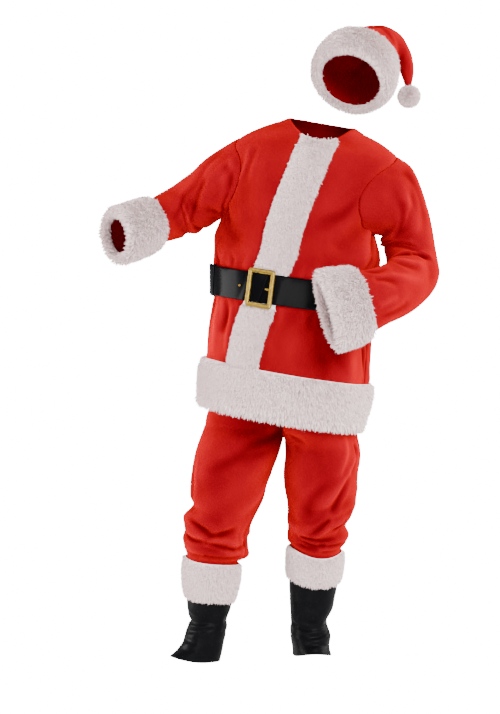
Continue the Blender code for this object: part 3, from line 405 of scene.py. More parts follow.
SLEEVE_SOFT = {
    Side.RIGHT: folds(
        cap_glow_a=(50, 16, 82, 30, 7, 3.6),
        cap_glow_b=(44, 38, 68, 72, 8, 3),
        cap_dip=(66, 26, 116, 18, 8, -4.2),
        pit=(114, 20, 158, 14, 8, -4),
        pit_drag=(150, 30, 112, 92, 8, -3.4),
        fore_a=(72, 74, 126, 166, 9, -3.8),
        fore_b=(66, 98, 94, 228, 9, -3.4),
        fore_glow=(84, 92, 120, 190, 9, 2.8),
        under_a=(206, 122, 140, 150, 7, -3.2),
        under_b=(200, 176, 138, 204, 7, -3),
        back_a=(300, 60, 250, 140, 10, -3.2),
        back_b=(270, 150, 228, 216, 9, -3),
        back_c=(330, 110, 280, 200, 11, -3.4),
    ),
    Side.LEFT: folds(
        cap_glow=(78, 56, 72, 150, 11, 3.2),
        cap_dip=(66, 30, 112, 126, 10, -3.8),
        cap_back=(40, 40, 50, 150, 11, -2.8),
        pit_pull=(184, 150, 100, 168, 8, -4.2),
        pit_pull_b=(176, 110, 128, 146, 8, -3.4),
        elbow_a=(178, 300, 112, 256, 8, -8),
        elbow_b=(116, 256, 72, 234, 8, -6.5),
        elbow_lip=(160, 322, 88, 276, 9, 4),
        elbow_low=(150, 340, 100, 306, 8, -3.4),
        fore_dark=(124, 432, 98, 386, 8, -4.2),
        fore_glow=(74, 444, 72, 394, 8, 4),
        fore_long=(122, 386, 68, 302, 10, 3.8),
        fore_low=(52, 452, 46, 380, 9, -3.4),
        fore_top=(160, 446, 146, 396, 8, -3.6),
        back_a=(300, 70, 250, 150, 10, -3.4),
        back_b=(270, 170, 228, 226, 9, -3.2),
        back_c=(330, 130, 280, 214, 11, -3.6),
        back_elbow_a=(190, 268, 240, 250, 8, -5),
        back_elbow_b=(330, 250, 290, 300, 12, -3),
        back_fore=(230, 330, 290, 400, 10, -3.6),
    ),
}
LEG_BACK_SOFT = folds(
    calf_a=(230, -900, 300, -948, 10, -4),
    calf_b=(200, -985, 262, -1004, 7, -4.2),
    calf_c=(290, -985, 345, -1008, 7, -4),
    calf_roll=(215, -962, 290, -982, 8, 3),
    seat_a=(215, -742, 262, -800, 13, -4),
    seat_b=(320, -745, 285, -815, 13, -4),
)
LEG_SOFT = {
    Side.RIGHT: folds(
        crotch_pull=(4, -736, 80, -778, 10, -4.4),
        crotch_low=(40, -774, 104, -824, 13, -3),
        knee_a=(128, -958, 74, -994, 7, -6),
        knee_b=(80, -994, 38, -976, 7, -5),
        knee_lip=(118, -944, 66, -974, 8, 2.4),
        shin_a=(134, -1004, 82, -1008, 6, -6),
        shin_b=(86, -1010, 32, -1024, 6, -6),
        shin_c=(38, -1024, -4, -1008, 6, -4.6),
        low_a=(136, -1052, 74, -1050, 6, -5.2),
        low_b=(76, -1048, 8, -1042, 6, -4.4),
        low_c=(60, -1030, 12, -1034, 5, 2.2),
        inner_glow=(14, -956, 7, -1036, 6, 3.6),
        thigh_glow=(-6, -834, 34, -922, 10, 3.4),
        outer_glow=(140, -808, 128, -892, 6, 3),
        outer_dip=(152, -830, 146, -930, 9, -3.4),
    ) + LEG_BACK_SOFT,
    Side.LEFT: folds(
        long_a=(178, -740, 143, -828, 6, 5),
        long_b=(143, -828, 80, -926, 7, 5),
        second=(153, -730, 126, -836, 6, 4),
        long_dip_a=(164, -760, 150, -834, 5, -4.4),
        long_dip_b=(147, -838, 110, -918, 7, -5),
        inner_dip=(112, -850, 58, -934, 10, -3),
        pocket=(102, -946, 64, -978, 7, -6.4),
        knee_out=(140, -954, 108, -966, 6, -6),
        cuff_a=(54, -984, 122, -990, 5, -5.6),
        cuff_b=(50, -996, 92, -1002, 5, -5.6),
        cuff_c=(86, -1001, 152, -1019, 5, -5.6),
        cuff_d=(34, -1008, 80, -1012, 5, -5),
        cuff_e=(76, -1013, 160, -1032, 5, -4.6),
        inner_knee=(8, -948, 46, -968, 6, 4),
        crotch_small=(50, -732, 72, -750, 7, -3.6),
        crotch_pull=(6, -742, 44, -790, 10, -4),
    ) + raised(LEG_BACK_SOFT, BACK_FOLD_RISE),
}
BOOT_SOFT = folds(
    ankle_a=(20, -1246, 110, -1262, 6, -3),
    ankle_b=(100, -1236, 175, -1222, 6, -3),
    ankle_c=(60, -1218, 130, -1208, 6, -2.4),
    ankle_roll=(30, -1236, 120, -1246, 7, 2.4),
    shaft_a=(50, -1196, 110, -1172, 7, -2),
    heel_a=(210, -1250, 300, -1240, 7, -2.6),
    heel_b=(240, -1216, 330, -1208, 7, -2.4),
    instep_a=(60, -1286, 120, -1292, 7, -2.4),
    instep_b=(40, -1304, 95, -1316, 7, -2),
)
HAT_SOFT = folds(
    bend_a=(310, 150, 60, 158, 10, -3.4),
    bend_b=(300, 172, 50, 186, 9, -3.4),
    bend_roll=(305, 161, 55, 172, 9, 2.6),
    back_a=(150, 110, 200, 190, 13, -3),
    side_a=(95, 100, 120, 200, 12, -3),
    side_b=(240, 104, 250, 190, 12, -3.2),
    tail_a=(20, 205, 70, 250, 7, -2.2),
    tail_b=(170, 200, 140, 262, 7, -2.2),
)


# ---------------- small shapes
def hermite(places: Points, values: Points, place: Points, own: bool = False) -> Points:
    """Reads rows of values as smooth curves along their places.

    Args:
        places: Rising places of the rows, one for each row.
        values: One row for each place; with own, also one curve for each spot asked for.
        place: Where to read, in any shape.
        own: Whether values already carry the shape of place behind their first axis.

    Returns:
        The values at each spot, with their columns last.
    """
    gaps = np.diff(places).reshape((-1,) + (1,) * (values.ndim - 1))
    slopes = np.diff(values, axis=0) / gaps
    middle = (slopes[:-1] * gaps[1:] + slopes[1:] * gaps[:-1]) / (gaps[:-1] + gaps[1:])
    slopes = np.concatenate([slopes[:1], middle, slopes[-1:]])
    place = np.clip(np.asarray(place, float), places[0], places[-1])
    low = np.clip(np.searchsorted(places, place) - 1, 0, len(places) - 2)
    span = (places[low + 1] - places[low])[..., None]
    t = (place - places[low])[..., None] / span

    def pick(rows: Points, index: Points) -> Points:
        """Each spot's own row."""
        if not own:
            return rows[index]
        return np.take_along_axis(rows, index[None, ..., None], axis=0)[0]

    start, end = pick(values, low), pick(values, low + 1)
    leave, arrive = pick(slopes, low) * span, pick(slopes, low + 1) * span
    return ((2 * t**3 - 3 * t**2 + 1) * start + (t**3 - 2 * t**2 + t) * leave
            + (3 * t**2 - 2 * t**3) * end + (t**3 - t**2) * arrive)


class Table:
    """Rows of a table read as one smooth curve along their places."""

    def __init__(self, rows: Sequence[Sequence[float]]) -> None:
        """Args: rows: place first, then the columns."""
        values = np.array(sorted(rows), float)
        self.places, self.values = values[:, 0], values[:, 1:]

    def read(self, place: Points) -> Points:
        """All columns at each place."""
        return hermite(self.places, self.values, place)


def smooth_step(t: Points) -> Points:
    """0 to 1 with level ends."""
    t = np.clip(t, 0.0, 1.0)
    return t * t * (3 - 2 * t)


def bell(away: Points, width: float) -> Points:
    """1 at no distance away, falling softly over a width."""
    return np.exp(-(away / width) ** 2)


def halve(before: Callable[[Points], Points], shape: tuple[int, ...]) -> Points:
    """The angles in OPENING_RANGE up to which a test holds, for each spot of a shape.

    Args:
        before: Whether each angle still lies before the one looked for.
        shape: The shape of the spots.

    Returns:
        One angle for each spot, from inside OPENING_RANGE.
    """
    low, high = (np.full(shape, end) for end in OPENING_RANGE)
    for _ in range(HALVINGS):
        mid = (low + high) / 2
        held = before(mid)
        low, high = np.where(held, mid, low), np.where(held, high, mid)
    return (low + high) / 2


def unit(vectors: Points) -> Points:
    """The same directions, one long."""
    return vectors / np.maximum(np.linalg.norm(vectors, axis=-1, keepdims=True), 1e-9)


def spread_places(places: Points, angle: Points) -> tuple[Points, Points]:
    """Columns of angles, the same on each row or not, and each spot's place."""
    angle = np.broadcast_to(angle, (len(places), angle.shape[-1]))
    return angle, np.broadcast_to(places[:, None], angle.shape)


def all_round(places: Points, columns: int) -> tuple[Points, Points]:
    """Angles and places of a grid all round a tube."""
    return spread_places(places, np.arange(columns) * math.tau / columns)


def between(start: Points, end: Points, share: Points) -> Points:
    """Rows of angles from one line to another, at the given shares."""
    return start[:, None] + (end - start)[:, None] * share[None, :]


def ring_points(place: Points, ring: Points, angle: Points) -> Points:
    """Points of level rings; angle 0 is a ring's left side, a quarter turn on its front.

    Args:
        place: Heights of the rings.
        ring: The columns of Ring after its z.
        angle: Radians round each.

    Returns:
        Points in millimetres.
    """
    x, y, half, front, back, tilt, turn, dip, lift, square = np.moveaxis(ring, -1, 0)
    across, ahead = np.cos(angle), np.sin(angle)
    full = (np.abs(across)**square + np.abs(ahead)**square) ** (-1.0 / square)
    side = half * across * full
    depth = np.where(ahead > 0, front, back) * ahead * full
    drop = np.where(ahead > 0, dip, -lift) * ahead**2
    turn = np.radians(turn)
    east = side * np.cos(turn) - depth * np.sin(turn)
    south = side * np.sin(turn) + depth * np.cos(turn)
    return np.stack([x + east, y - south, place - drop - np.tan(np.radians(tilt)) * east], axis=-1)


def ring_middle(place: Points, ring: Points) -> Points:
    """The middle of level rings."""
    return np.stack([ring[..., 0], ring[..., 1], place], axis=-1)


# ---------------- surfaces
@dataclass
class Surface:
    """A tube with folds in it. Its methods take an angle round it, in radians, and a
    place along it, in millimetres, for each spot, and give points in millimetres.
    """

    rows: Sequence[Any]              # the rings or sections it runs through
    large: Sequence[Fold]            # the large folds, which the solid has too
    soft: Sequence[Fold]             # the finer ones
    radius: float                    # about how wide it is, which turns angles into lengths
    gather: Optional[Lift] = None    # further lift
    calm: Optional[Lift] = None      # share of the finer folds and gathers that is left

    step = 1.5

    def bare(self, angle: Points, place: Points) -> Points:
        """Points of the tube without its folds."""
        raise NotImplementedError

    def middle(self, place: Points) -> Points:
        """The tube's own line."""
        raise NotImplementedError

    def along(self, fold: Fold, angle: Points, place: Points) -> tuple[Points, Points, Points]:
        """How far along a fold a spot lies (0 to 1), how far past its ends and to its side.

        Args:
            fold: The fold.
            angle, place: The spots.

        Returns:
            The share from 0 to 1, and two lengths in millimetres.
        """
        turned = (np.degrees(angle) - fold.angle_from + 180.0) % 360.0 - 180.0
        east = np.radians(turned) * self.radius
        north = place - fold.place_from
        run_east = math.radians(fold.angle_to - fold.angle_from) * self.radius
        run_north = fold.place_to - fold.place_from
        long = math.hypot(run_east, run_north)
        share = (east * run_east + north * run_north) / long**2
        inner = np.clip(share, 0.0, 1.0)
        return inner, (share - inner) * long, (east * run_north - north * run_east) / long

    def crease(self, fold: Fold, angle: Points, place: Points) -> Points:
        """A finer fold: bowed, wider and deeper at one end, a trough with raised lips.

        Args:
            fold: The fold.
            angle, place: The spots.

        Returns:
            Its lift at each spot.
        """
        share, past, side = self.along(fold, angle, place)
        turn = fold.angle_from * 1.7 + fold.place_from * 0.31
        side = side - fold.width * 0.9 * math.sin(turn) * 4 * share * (1 - share)
        away = np.hypot(past, side)
        wide = fold.width * (0.8 + 0.45 * share)
        deep = fold.depth * (1 - 0.6 * np.abs(2 * share - 1 + 0.3 * math.cos(turn)) ** 2.2)
        shape = bell(away, wide)
        if fold.depth < 0:
            shape = shape - 0.3 * bell(away - 1.8 * wide, 0.9 * wide)
        return deep * shape

    def broad(self, angle: Points, place: Points) -> Points:
        """How far the large folds lift the cloth."""
        height = np.zeros(np.broadcast(angle, place).shape)
        for fold in self.large:
            _, past, side = self.along(fold, angle, place)
            height = height + fold.depth * bell(np.hypot(past, side), fold.width)
        return height

    def fine(self, angle: Points, place: Points) -> Points:
        """How far the finer folds and gathers lift the cloth."""
        height = np.zeros(np.broadcast(angle, place).shape)
        for fold in self.soft:
            height = height + self.crease(fold, angle, place)
        if self.gather is not None:
            height = height + self.gather(angle, place)
        return height if self.calm is None else height * self.calm(angle, place)

    def hollows(self, angle: Points, place: Points) -> Points:
        """Minus in troughs, plus on ridges: painted shade and highlight, which darken the velour's
        colour in troughs and lighten it on ridges.
        """
        return self.fine(angle, place) + 0.35 * self.broad(angle, place)

    def normal(self, angle: Points, place: Points) -> Points:
        """The direction straight out of the cloth."""
        turn = self.step / self.radius
        along = self.bare(angle, place + self.step) - self.bare(angle, place - self.step)
        across = self.bare(angle + turn, place) - self.bare(angle - turn, place)
        out = unit(np.cross(along, across))
        facing = np.sum(out * (self.bare(angle, place) - self.middle(place)),
                        axis=-1, keepdims=True)
        return np.where(facing > 0, out, -out)

    def at(self, angle: Points, place: Points, out: Points = 0.0) -> Points:
        """Points of the folded cloth, moved out of it."""
        angle, place = np.broadcast_arrays(np.asarray(angle, float), np.asarray(place, float))
        out = np.asarray(out) + self.broad(angle, place) + self.fine(angle, place)
        return self.bare(angle, place) + self.normal(angle, place) * out[..., None]

    def eased(self, angle: Points, place: Points, wall: float, detail: Points,
              share: Points) -> Points:
        """Points of the cloth with only a share of its folds and detail, over its wall.

        Args:
            angle, place: The spots.
            wall: Thickness under the outer face.
            detail: Further lift.
            share: How much of folds and detail is left, 0 to 1.

        Returns:
            Points of the outer face.
        """
        full = self.at(angle, place, wall + detail)
        plain = self.bare(angle, place) + self.normal(angle, place) * wall
        return plain + (full - plain) * share[..., None]


@dataclass
class RingSurface(Surface):
    """A tube through level rings."""

    mirrored: bool = False           # whether angle 0 lies on the other side

    def __post_init__(self) -> None:
        """Keeps the rings as a table."""
        self.table = Table(self.rows)

    def bare(self, angle: Points, place: Points) -> Points:
        """Points of the rings."""
        turned = math.pi - angle if self.mirrored else angle
        return ring_points(place, self.table.read(place), turned)

    def middle(self, place: Points) -> Points:
        """The rings' centres."""
        return ring_middle(place, self.table.read(place))


class LegSurface(RingSurface):
    """A trouser leg: a whole tube below the crotch, half of the hips above it."""

    def __init__(self, side: Side) -> None:
        """Args: side: the wearer's side it is on."""
        super().__init__(leg_rows(side), raised(LEG_FOLDS, LEG_RISE[side]), LEG_SOFT[side],
                         LEG_RADIUS, slack(0.9, 5, 39, 27), mirrored=side is Side.LEFT)
        self.hips = Table(HIPS)

    def _over(self, place: Points) -> tuple[Points, Points, Points]:
        """The hips' rings, how far a spot lies over the crotch and how open the leg is."""
        hips = self.hips.read(place)
        over = ring_middle(place, hips) - np.array([CROTCH_X, CROTCH_Y, CROTCH])
        over = np.where((place > CROTCH)[..., None], over, 0.0)
        return hips, over, smooth_step((place - CROTCH) / RISE_BLEND)[..., None]

    def bare(self, angle: Points, place: Points) -> Points:
        """Points of the leg, which opens into the hips."""
        hips, over, share = self._over(place)
        thigh = super().bare(angle, np.minimum(place, CROTCH)) + over
        turned = math.pi / 2 + (-angle if self.mirrored else angle) / 2
        return thigh * (1 - share) + ring_points(place, hips, turned) * share

    def middle(self, place: Points) -> Points:
        """The middle of the leg, then of the hips."""
        hips, over, share = self._over(place)
        thigh = super().middle(np.minimum(place, CROTCH)) + over
        return thigh * (1 - share) + ring_middle(place, hips) * share

    def at(self, angle: Points, place: Points, out: Points = 0.0) -> Points:
        """Points of the cloth, each kept on its own side of the seam between the legs."""
        points = super().at(angle, place, out)
        height = points[..., 2]
        turn = math.radians(HIP_TURN)
        across = np.array([math.cos(turn), -math.sin(turn), 0.0]) * (-1 if self.mirrored else 1)
        middle = ring_middle(height, self.hips.read(height))
        beyond = np.maximum((points - middle) @ across + SEAM / 2, 0.0)
        beyond = np.where(height < CROTCH - 6.0, 0.0, beyond)
        return points - across * beyond[..., None]


def leg_rows(side: Side) -> list[Ring]:
    """The leg's table with its crotch and its tucked end worked out from their neighbours.

    Args:
        side: The wearer's side.

    Returns:
        All of its rings, not yet in order.
    """
    half, turn = THIGH_HALF[side], math.radians(HIP_TURN)
    reach = side.sign * (half + CLOTH + SEAM)
    crotch = Ring(CROTCH, CROTCH_X + reach * math.cos(turn), CROTCH_Y - reach * math.sin(turn),
                  half, 110, 114, 0, HIP_TURN)
    boot, boot_top = Table(BOOT[side]), BOOT[side][-1].z
    inside = CLOTH + LIE + SEAM
    start, end = TUCK[side]
    tucked = []
    for place in (start, boot_top, (boot_top + end) / 2, end):
        ring = boot.read(place)
        tucked.append(Ring(place, *ring[:2], *(ring[2:5] - inside), *ring[5:]))
    return [crotch, *LEG[side], *tucked]


@dataclass
class SectionSurface(Surface):
    """A tube through sections along its own line."""

    first_loop: Optional[Loop] = None    # where the tube starts, in place of a section
    handed: float = 1.0                  # which way its angles run

    def __post_init__(self) -> None:
        """Works out its line and how long that is."""
        centres = [np.array(row[:3], float) for row in self.rows]
        if self.first_loop is not None:
            centres.insert(0, self.first_loop(np.arange(12) * math.tau / 12).mean(axis=0))
        self.centres = np.array(centres)
        gaps = np.linalg.norm(np.diff(self.centres, axis=0), axis=1)
        self.places = np.concatenate([[0.0], np.cumsum(gaps)])
        self.length = float(self.places[-1])

    def section(self, index: int, angle: Points) -> Points:
        """Points of one of the table's sections.

        Args:
            index: Which section, counting the first loop where there is one.
            angle: Radians round it.

        Returns:
            Points in millimetres.
        """
        if self.first_loop is not None and index == 0:
            return self.first_loop(angle)
        row = self.rows[index - (self.first_loop is not None)]
        before = self.centres[max(index - 1, 0)]
        after = self.centres[min(index + 1, len(self.centres) - 1)]
        cap = unit(np.array(row[3:6]))
        side = unit(np.cross(unit(after - before), cap)) * self.handed
        return (self.centres[index] + cap * (row.half_cap * np.cos(angle))[..., None]
                + side * (row.half_side * np.sin(angle))[..., None])

    def bare(self, angle: Points, place: Points) -> Points:
        """Points of the tube."""
        angle, place = np.broadcast_arrays(angle, place)
        values = np.stack([self.section(index, angle) for index in range(len(self.centres))])
        return hermite(self.places, values, place, own=True)

    def middle(self, place: Points) -> Points:
        """The tube's line."""
        return hermite(self.places, self.centres, place)


# ---------------- gathers and puckers
def ripple(turns: Points, seed: float) -> Points:
    """An uneven wave round a piece, about 1 high, from waves that never line up."""
    return (np.sin(turns * 17 + seed) + 0.8 * np.sin(turns * 29 + 2.3 * seed)
            + 0.6 * np.sin(turns * 43 - 1.7 * seed)) / 2.0


def slack(height: float, waves: int, long: float, short: float) -> Lift:
    """Slack cloth, or buckled vinyl, all over a tube.

    Args:
        height: Millimetres.
        waves: How many go round.
        long: Slow wave along, in millimetres a radian.
        short: Quick wave along, the same way.

    Returns:
        A function of angle and place.
    """
    def lift(angle: Points, place: Points) -> Points:
        """Lift at each spot."""
        return (height * np.sin(angle * waves + place / long)
                * np.sin(place / short + 2 * np.sin(angle)))
    return lift


def body_gather(angle: Points, place: Points) -> Points:
    """The jacket is drawn in by its belt and puckers a little at its side seams."""
    above = bell(place - BELT_HIGH - 6, 26) * (place > BELT_HIGH - 6)
    below = bell(place - BELT_LOW + 4, 34) * (place < BELT_LOW + 4)
    lift = 1.9 * ripple(angle, 0.7) * above + 1.7 * ripple(angle, 2.1) * below
    uneven = 0.9 * np.sin(angle * 7 + place / 47) * np.sin(place / 31 + 3 * np.sin(angle * 2))
    return lift + uneven * (1 - above - below)


def hat_gather(angle: Points, place: Points) -> Points:
    """Slack cloth above the brim."""
    return np.clip((place - BRIM_HEIGHT) / 25.0, 0, 1) * slack(0.9, 4, 24, 19)(angle, place)


def seam_pucker(edge: Points, place: Points, wave: float, sway: float, reach: float) -> Points:
    """The pull of a seam: a thin trough, with the cloth uneven beside it.

    Args:
        edge: Millimetres from the seam.
        place: Millimetres along it.
        wave: Length of the puckers.
        sway: Length over which they shift.
        reach: How far from the seam they go.

    Returns:
        Lift in millimetres.
    """
    return (-0.6 * bell(edge, 3.5)
            + 0.5 * np.sin(place / wave + np.sin(place / sway)) * bell(edge, reach))


# ---------------- the suit's own surfaces
def body_calm(angle: Points, place: Points) -> Points:
    """The jacket's cloth lies flat under its plush and under the belt."""
    away = np.abs(angle - front_angle(place)) * ring_speed(angle, place)
    belt = smooth_step(np.maximum(BELT_LOW - place, place - BELT_HIGH) / 7.0)
    bands = smooth_step((away - BAND_HALF + 4) / 12.0) * smooth_step((place - BAND_TOP + 2) / 10.0)
    return bands * belt


BODY = RingSurface(JACKET, JACKET_FOLDS, JACKET_SOFT, BODY_RADIUS, body_gather, body_calm)
BED = RingSurface(JACKET, JACKET_FOLDS, (), BODY_RADIUS)
SHIFT = Table(FRONT_SHIFT)


def front_angle(place: Points) -> Points:
    """The angle of the front opening, to the wearer's right of the middle."""
    ring = BODY.table.read(place)
    shift = SHIFT.read(place)[..., 0]
    return halve(lambda angle: ring_points(place, ring, angle)[..., 0] - ring[..., 0] > -shift,
                 np.shape(place))


def ring_speed(angle: Points, place: Points) -> Points:
    """Millimetres round the body for each radian."""
    step = 0.01
    run = BODY.bare(angle + step, place) - BODY.bare(angle - step, place)
    return np.linalg.norm(run, axis=-1) / (2 * step)


def seam_gap(angle: Points, place: Points, wide: float = SEWN) -> Points:
    """Radians left open on one side of a seam of the body's panels."""
    return wide / 2 / ring_speed(angle, place)


def armhole_spread(place: Points) -> Points:
    """Radians from the side line to the edge of the panels."""
    share = np.clip((place - ARMPIT) / (SHOULDER_TIP - ARMPIT), 0, 1)
    return ARMHOLE_SPREAD * np.sin(np.arccos(2 * share - 1))


def armhole_loop(side: Side) -> Loop:
    """The loop on which a sleeve stands, from the shoulder's tip forward and round."""
    def loop(angle: Points) -> Points:
        """Points of the loop."""
        place = ARMPIT + (SHOULDER_TIP - ARMPIT) * (1 + np.cos(angle)) / 2
        spread = ARMHOLE_SPREAD * np.sin(angle)
        return BODY.at(spread if side is Side.LEFT else math.pi - spread, place, CLOTH + SEAM)
    return loop


def band_height(place: Points) -> Points:
    """How high the plush of the front band stands; the belt presses it."""
    below = smooth_step((place - BELT_LOW + BELT_EASE) / BELT_EASE)
    above = smooth_step((BELT_HIGH + BELT_EASE - place) / BELT_EASE)
    press = np.where(place < BELT_LOW, below, above)
    return PLUSH_FRONT * (1 - press) + PLUSH_PRESSED * press


def sleeve_calm(side: Side) -> Lift:
    """A sleeve lies flat at its armhole and under its plush cuff."""
    def calm(_: Points, place: Points) -> Points:
        """Share of the finer folds that is left."""
        cuff = SLEEVES[side].length - CUFF_LENGTH[side]
        return smooth_step(place / 14.0) * smooth_step((cuff - place + 3) / 9.0)
    return calm


LEGS = {side: LegSurface(side) for side in Side}
BOOTS = {side: RingSurface(BOOT[side], BOOT_FOLDS, BOOT_SOFT, BOOT_RADIUS,
                           slack(0.6, 4, 17, 13)) for side in Side}
SLEEVES = {side: SectionSurface(SLEEVE[side], SLEEVE_FOLDS, SLEEVE_SOFT[side], SLEEVE_RADIUS,
                                slack(0.7, 4, 33, 23), sleeve_calm(side), armhole_loop(side),
                                float(side.sign)) for side in Side}
HAT_LINE = SectionSurface([row._replace(x=row.x + HAT_MIDDLE[0], y=row.y + HAT_MIDDLE[1],
                                        z=row.z + HAT_MIDDLE[2]) for row in HAT],
                          (), HAT_SOFT, HAT_RADIUS, hat_gather)


# ---------------- meshes through surfaces
def length_of(points: Points, axis: int) -> float:
    """The longest line of points along one axis, in millimetres."""
    steps = np.linalg.norm(np.diff(points, axis=axis), axis=-1)
    return float(steps.sum(axis=axis).max())


def to_mesh(name: str, body: bmesh.types.BMesh, *finishes: "Finish") -> bpy.types.Mesh:
    """Turns a bmesh into a smooth mesh with its finishes.

    Args:
        name: The mesh's name.
        body: What it is made from, which is freed.
        finishes: One for each slot.

    Returns:
        The mesh.
    """
    mesh = bpy.data.meshes.new(name)
    body.to_mesh(mesh)
    body.free()
    mesh.shade_smooth()
    for finish in finishes:
        mesh.materials.append(finish.material())
    return mesh


def place_object(name: str, data: bpy.types.ID) -> bpy.types.Object:
    """A new object in the scene."""
    obj = bpy.data.objects.new(name, data)
    bpy.context.scene.collection.objects.link(obj)
    return obj


@dataclass
class Cloth:
    """A sheet of cloth mapped on a surface, with the sizes of its cut."""

    obj: bpy.types.Object
    wide: float
    long: float
    area: float


def lay_cloth(name: str, points: Points, finish: "Finish", closed: bool = False,
              thick: float = CLOTH, back: Optional["Finish"] = None,
              extras: Optional[dict[str, Points]] = None, inside: Optional[Points] = None) -> Cloth:
    """Lays a grid on points and gives it the cloth's thickness.

    Args:
        name: The new object's name.
        points: Rows of columns of points of the outer face, in millimetres.
        finish: What the outer face is finished with.
        closed: Whether the last column is sewn to the first.
        thick: The wall, in millimetres, which goes inward.
        back: The finish of the inner face, or None for the same.
        extras: Numbers or directions to keep on the points, by name.
        inside: A point behind the cloth's middle; the middle of its middle row if None.

    Returns:
        The cloth and the sizes of its cut.
    """
    extras = dict(extras or {})
    if closed:
        points = np.concatenate([points, points[:, :1]], axis=1)
        extras = {title: np.concatenate([value, value[:, :1]], axis=1)
                  for title, value in extras.items()}
    rows, columns = points.shape[:2]
    body = bmesh.new()
    bmesh.ops.create_grid(body, x_segments=columns - 1, y_segments=rows - 1, size=0.5,
                          calc_uvs=True)
    layers = {title: (body.verts.layers.float if value.ndim == 2
                      else body.verts.layers.float_vector).new(title)
              for title, value in extras.items()}
    uv = body.loops.layers.uv.verify()
    wide, long = length_of(points, 1) * MM, length_of(points, 0) * MM
    grid = {vert: (round((vert.co.y + 0.5) * (rows - 1)), round((vert.co.x + 0.5) * (columns - 1)))
            for vert in body.verts}
    for face in body.faces:
        for loop in face.loops:
            row, column = grid[loop.vert]
            loop[uv].uv = (column / (columns - 1) * wide, row / (rows - 1) * long)
    for vert, (row, column) in grid.items():
        vert.co = Vector(points[row, column]) * MM
        for title, value in extras.items():
            spot = value[row, column]
            vert[layers[title]] = float(spot) if value.ndim == 2 else Vector(spot)
    if closed:
        bmesh.ops.remove_doubles(body, verts=body.verts[:], dist=MERGE)
    body.normal_update()
    body.faces.ensure_lookup_table()
    face = body.faces[len(body.faces) // 2]
    behind = points[rows // 2].mean(axis=0) if inside is None else inside
    if face.normal.dot(face.calc_center_median() - Vector(behind) * MM) < 0:
        bmesh.ops.reverse_faces(body, faces=body.faces[:])
    area = sum(face.calc_area() for face in body.faces)
    obj = place_object(name, to_mesh(name, body, finish, back or finish))
    wall = obj.modifiers.new("wall", "SOLIDIFY")
    wall.thickness = thick * MM
    wall.offset = -1.0
    wall.use_even_offset = False
    wall.material_offset = 1
    log.info("%s: %d x %d points, %.2f x %.2f m", name, rows, columns, wide, long)
    return Cloth(obj, wide, long, area)


def declare(cloth: Cloth, nodes: Sequence[str]) -> None:
    """Ties a cloth to the nodes it shows.

    Args:
        cloth: The sheet.
        nodes: The solids it stands for.
    """
    attach(cloth.obj, nodes)


def attach(obj: bpy.types.Object, nodes: Sequence[str] = ()) -> bpy.types.Object:
    """Ties a piece to the part and the nodes it shows.

    Args:
        obj: The piece.
        nodes: The solids it stands for, if any.

    Returns:
        The piece.
    """
    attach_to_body(obj, "root")
    if nodes:
        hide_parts(*nodes)
    return obj


# ---------------- nodes of finishes and fur
def feed(tree: Tree, node: Node, inputs: Inputs) -> None:
    """Sets a node's inputs, by title or number: sockets are linked, other values kept.

    Args:
        tree: Where the node is.
        node: The node.
        inputs: What goes in, by title or number.
    """
    for key, value in inputs.items():
        socket = node.inputs[key]
        if isinstance(value, bpy.types.NodeSocket):
            tree.links.new(value, socket)
        elif socket.type == "RGBA":
            socket.default_value = (*value, 1.0)
        else:
            socket.default_value = value


def add_node(tree: Tree, kind: str, inputs: Optional[Inputs] = None, **settings: Any) -> Node:
    """A node with its settings and its inputs.

    Args:
        tree: Where it goes.
        kind: Its type.
        inputs: What feed() sets.
        settings: Its properties.

    Returns:
        The node.
    """
    node = tree.nodes.new(kind)
    for title, value in settings.items():
        setattr(node, title, value)
    feed(tree, node, inputs or {})
    return node


def add_noise(tree: Tree, place: Socket, scale: Any, detail: float, rough: float = 0.5) -> Socket:
    """A noise texture that reads a place socket; returns its value socket."""
    return add_node(tree, "ShaderNodeTexNoise", {
        "Scale": scale, "Detail": detail, "Roughness": rough, "Vector": place}).outputs["Fac"]


def add_math(tree: Tree, kind: str, first: Any, second: Any) -> Socket:
    """A math node on sockets or numbers; returns its value socket."""
    return add_node(tree, "ShaderNodeMath", {0: first, 1: second}, operation=kind).outputs[0]


def add_sum(tree: Tree, *terms: tuple[Socket, float]) -> Socket:
    """The sum of sockets times their weights; returns a value socket.

    Args:
        tree: Where the nodes go.
        terms: Sockets with their weights.

    Returns:
        The sum.
    """
    parts = [add_math(tree, "MULTIPLY", socket, weight) for socket, weight in terms]
    total = parts.pop()
    while parts:
        total = add_math(tree, "ADD", parts.pop(), total)
    return total


def add_mix(tree: Tree, share: Any, first: Any, second: Any, blend: str = "MIX") -> Socket:
    """Mixes two colours, each a socket or an RGB tuple; returns a colour socket."""
    return add_node(tree, "ShaderNodeMix", {"Factor": share, 6: first, 7: second},
                    data_type="RGBA", blend_type=blend).outputs[2]


def add_range(tree: Tree, value: Socket, low: float, high: float,
              to_low: float, to_high: float) -> Socket:
    """Maps one range of values on another; returns a value socket.

    Args:
        tree: Where the node goes.
        value: What is mapped.
        low: Start of its range.
        high: End of it.
        to_low: What the start becomes.
        to_high: What the end becomes.

    Returns:
        The mapped value.
    """
    return add_node(tree, "ShaderNodeMapRange", {
        "Value": value, "From Min": low, "From Max": high, "To Min": to_low, "To Max": to_high,
    }).outputs["Result"]


def add_attribute(tree: Tree, title: str) -> Socket:
    """A number kept on the points; returns its value socket."""
    return add_node(tree, "ShaderNodeAttribute", attribute_name=title).outputs["Fac"]


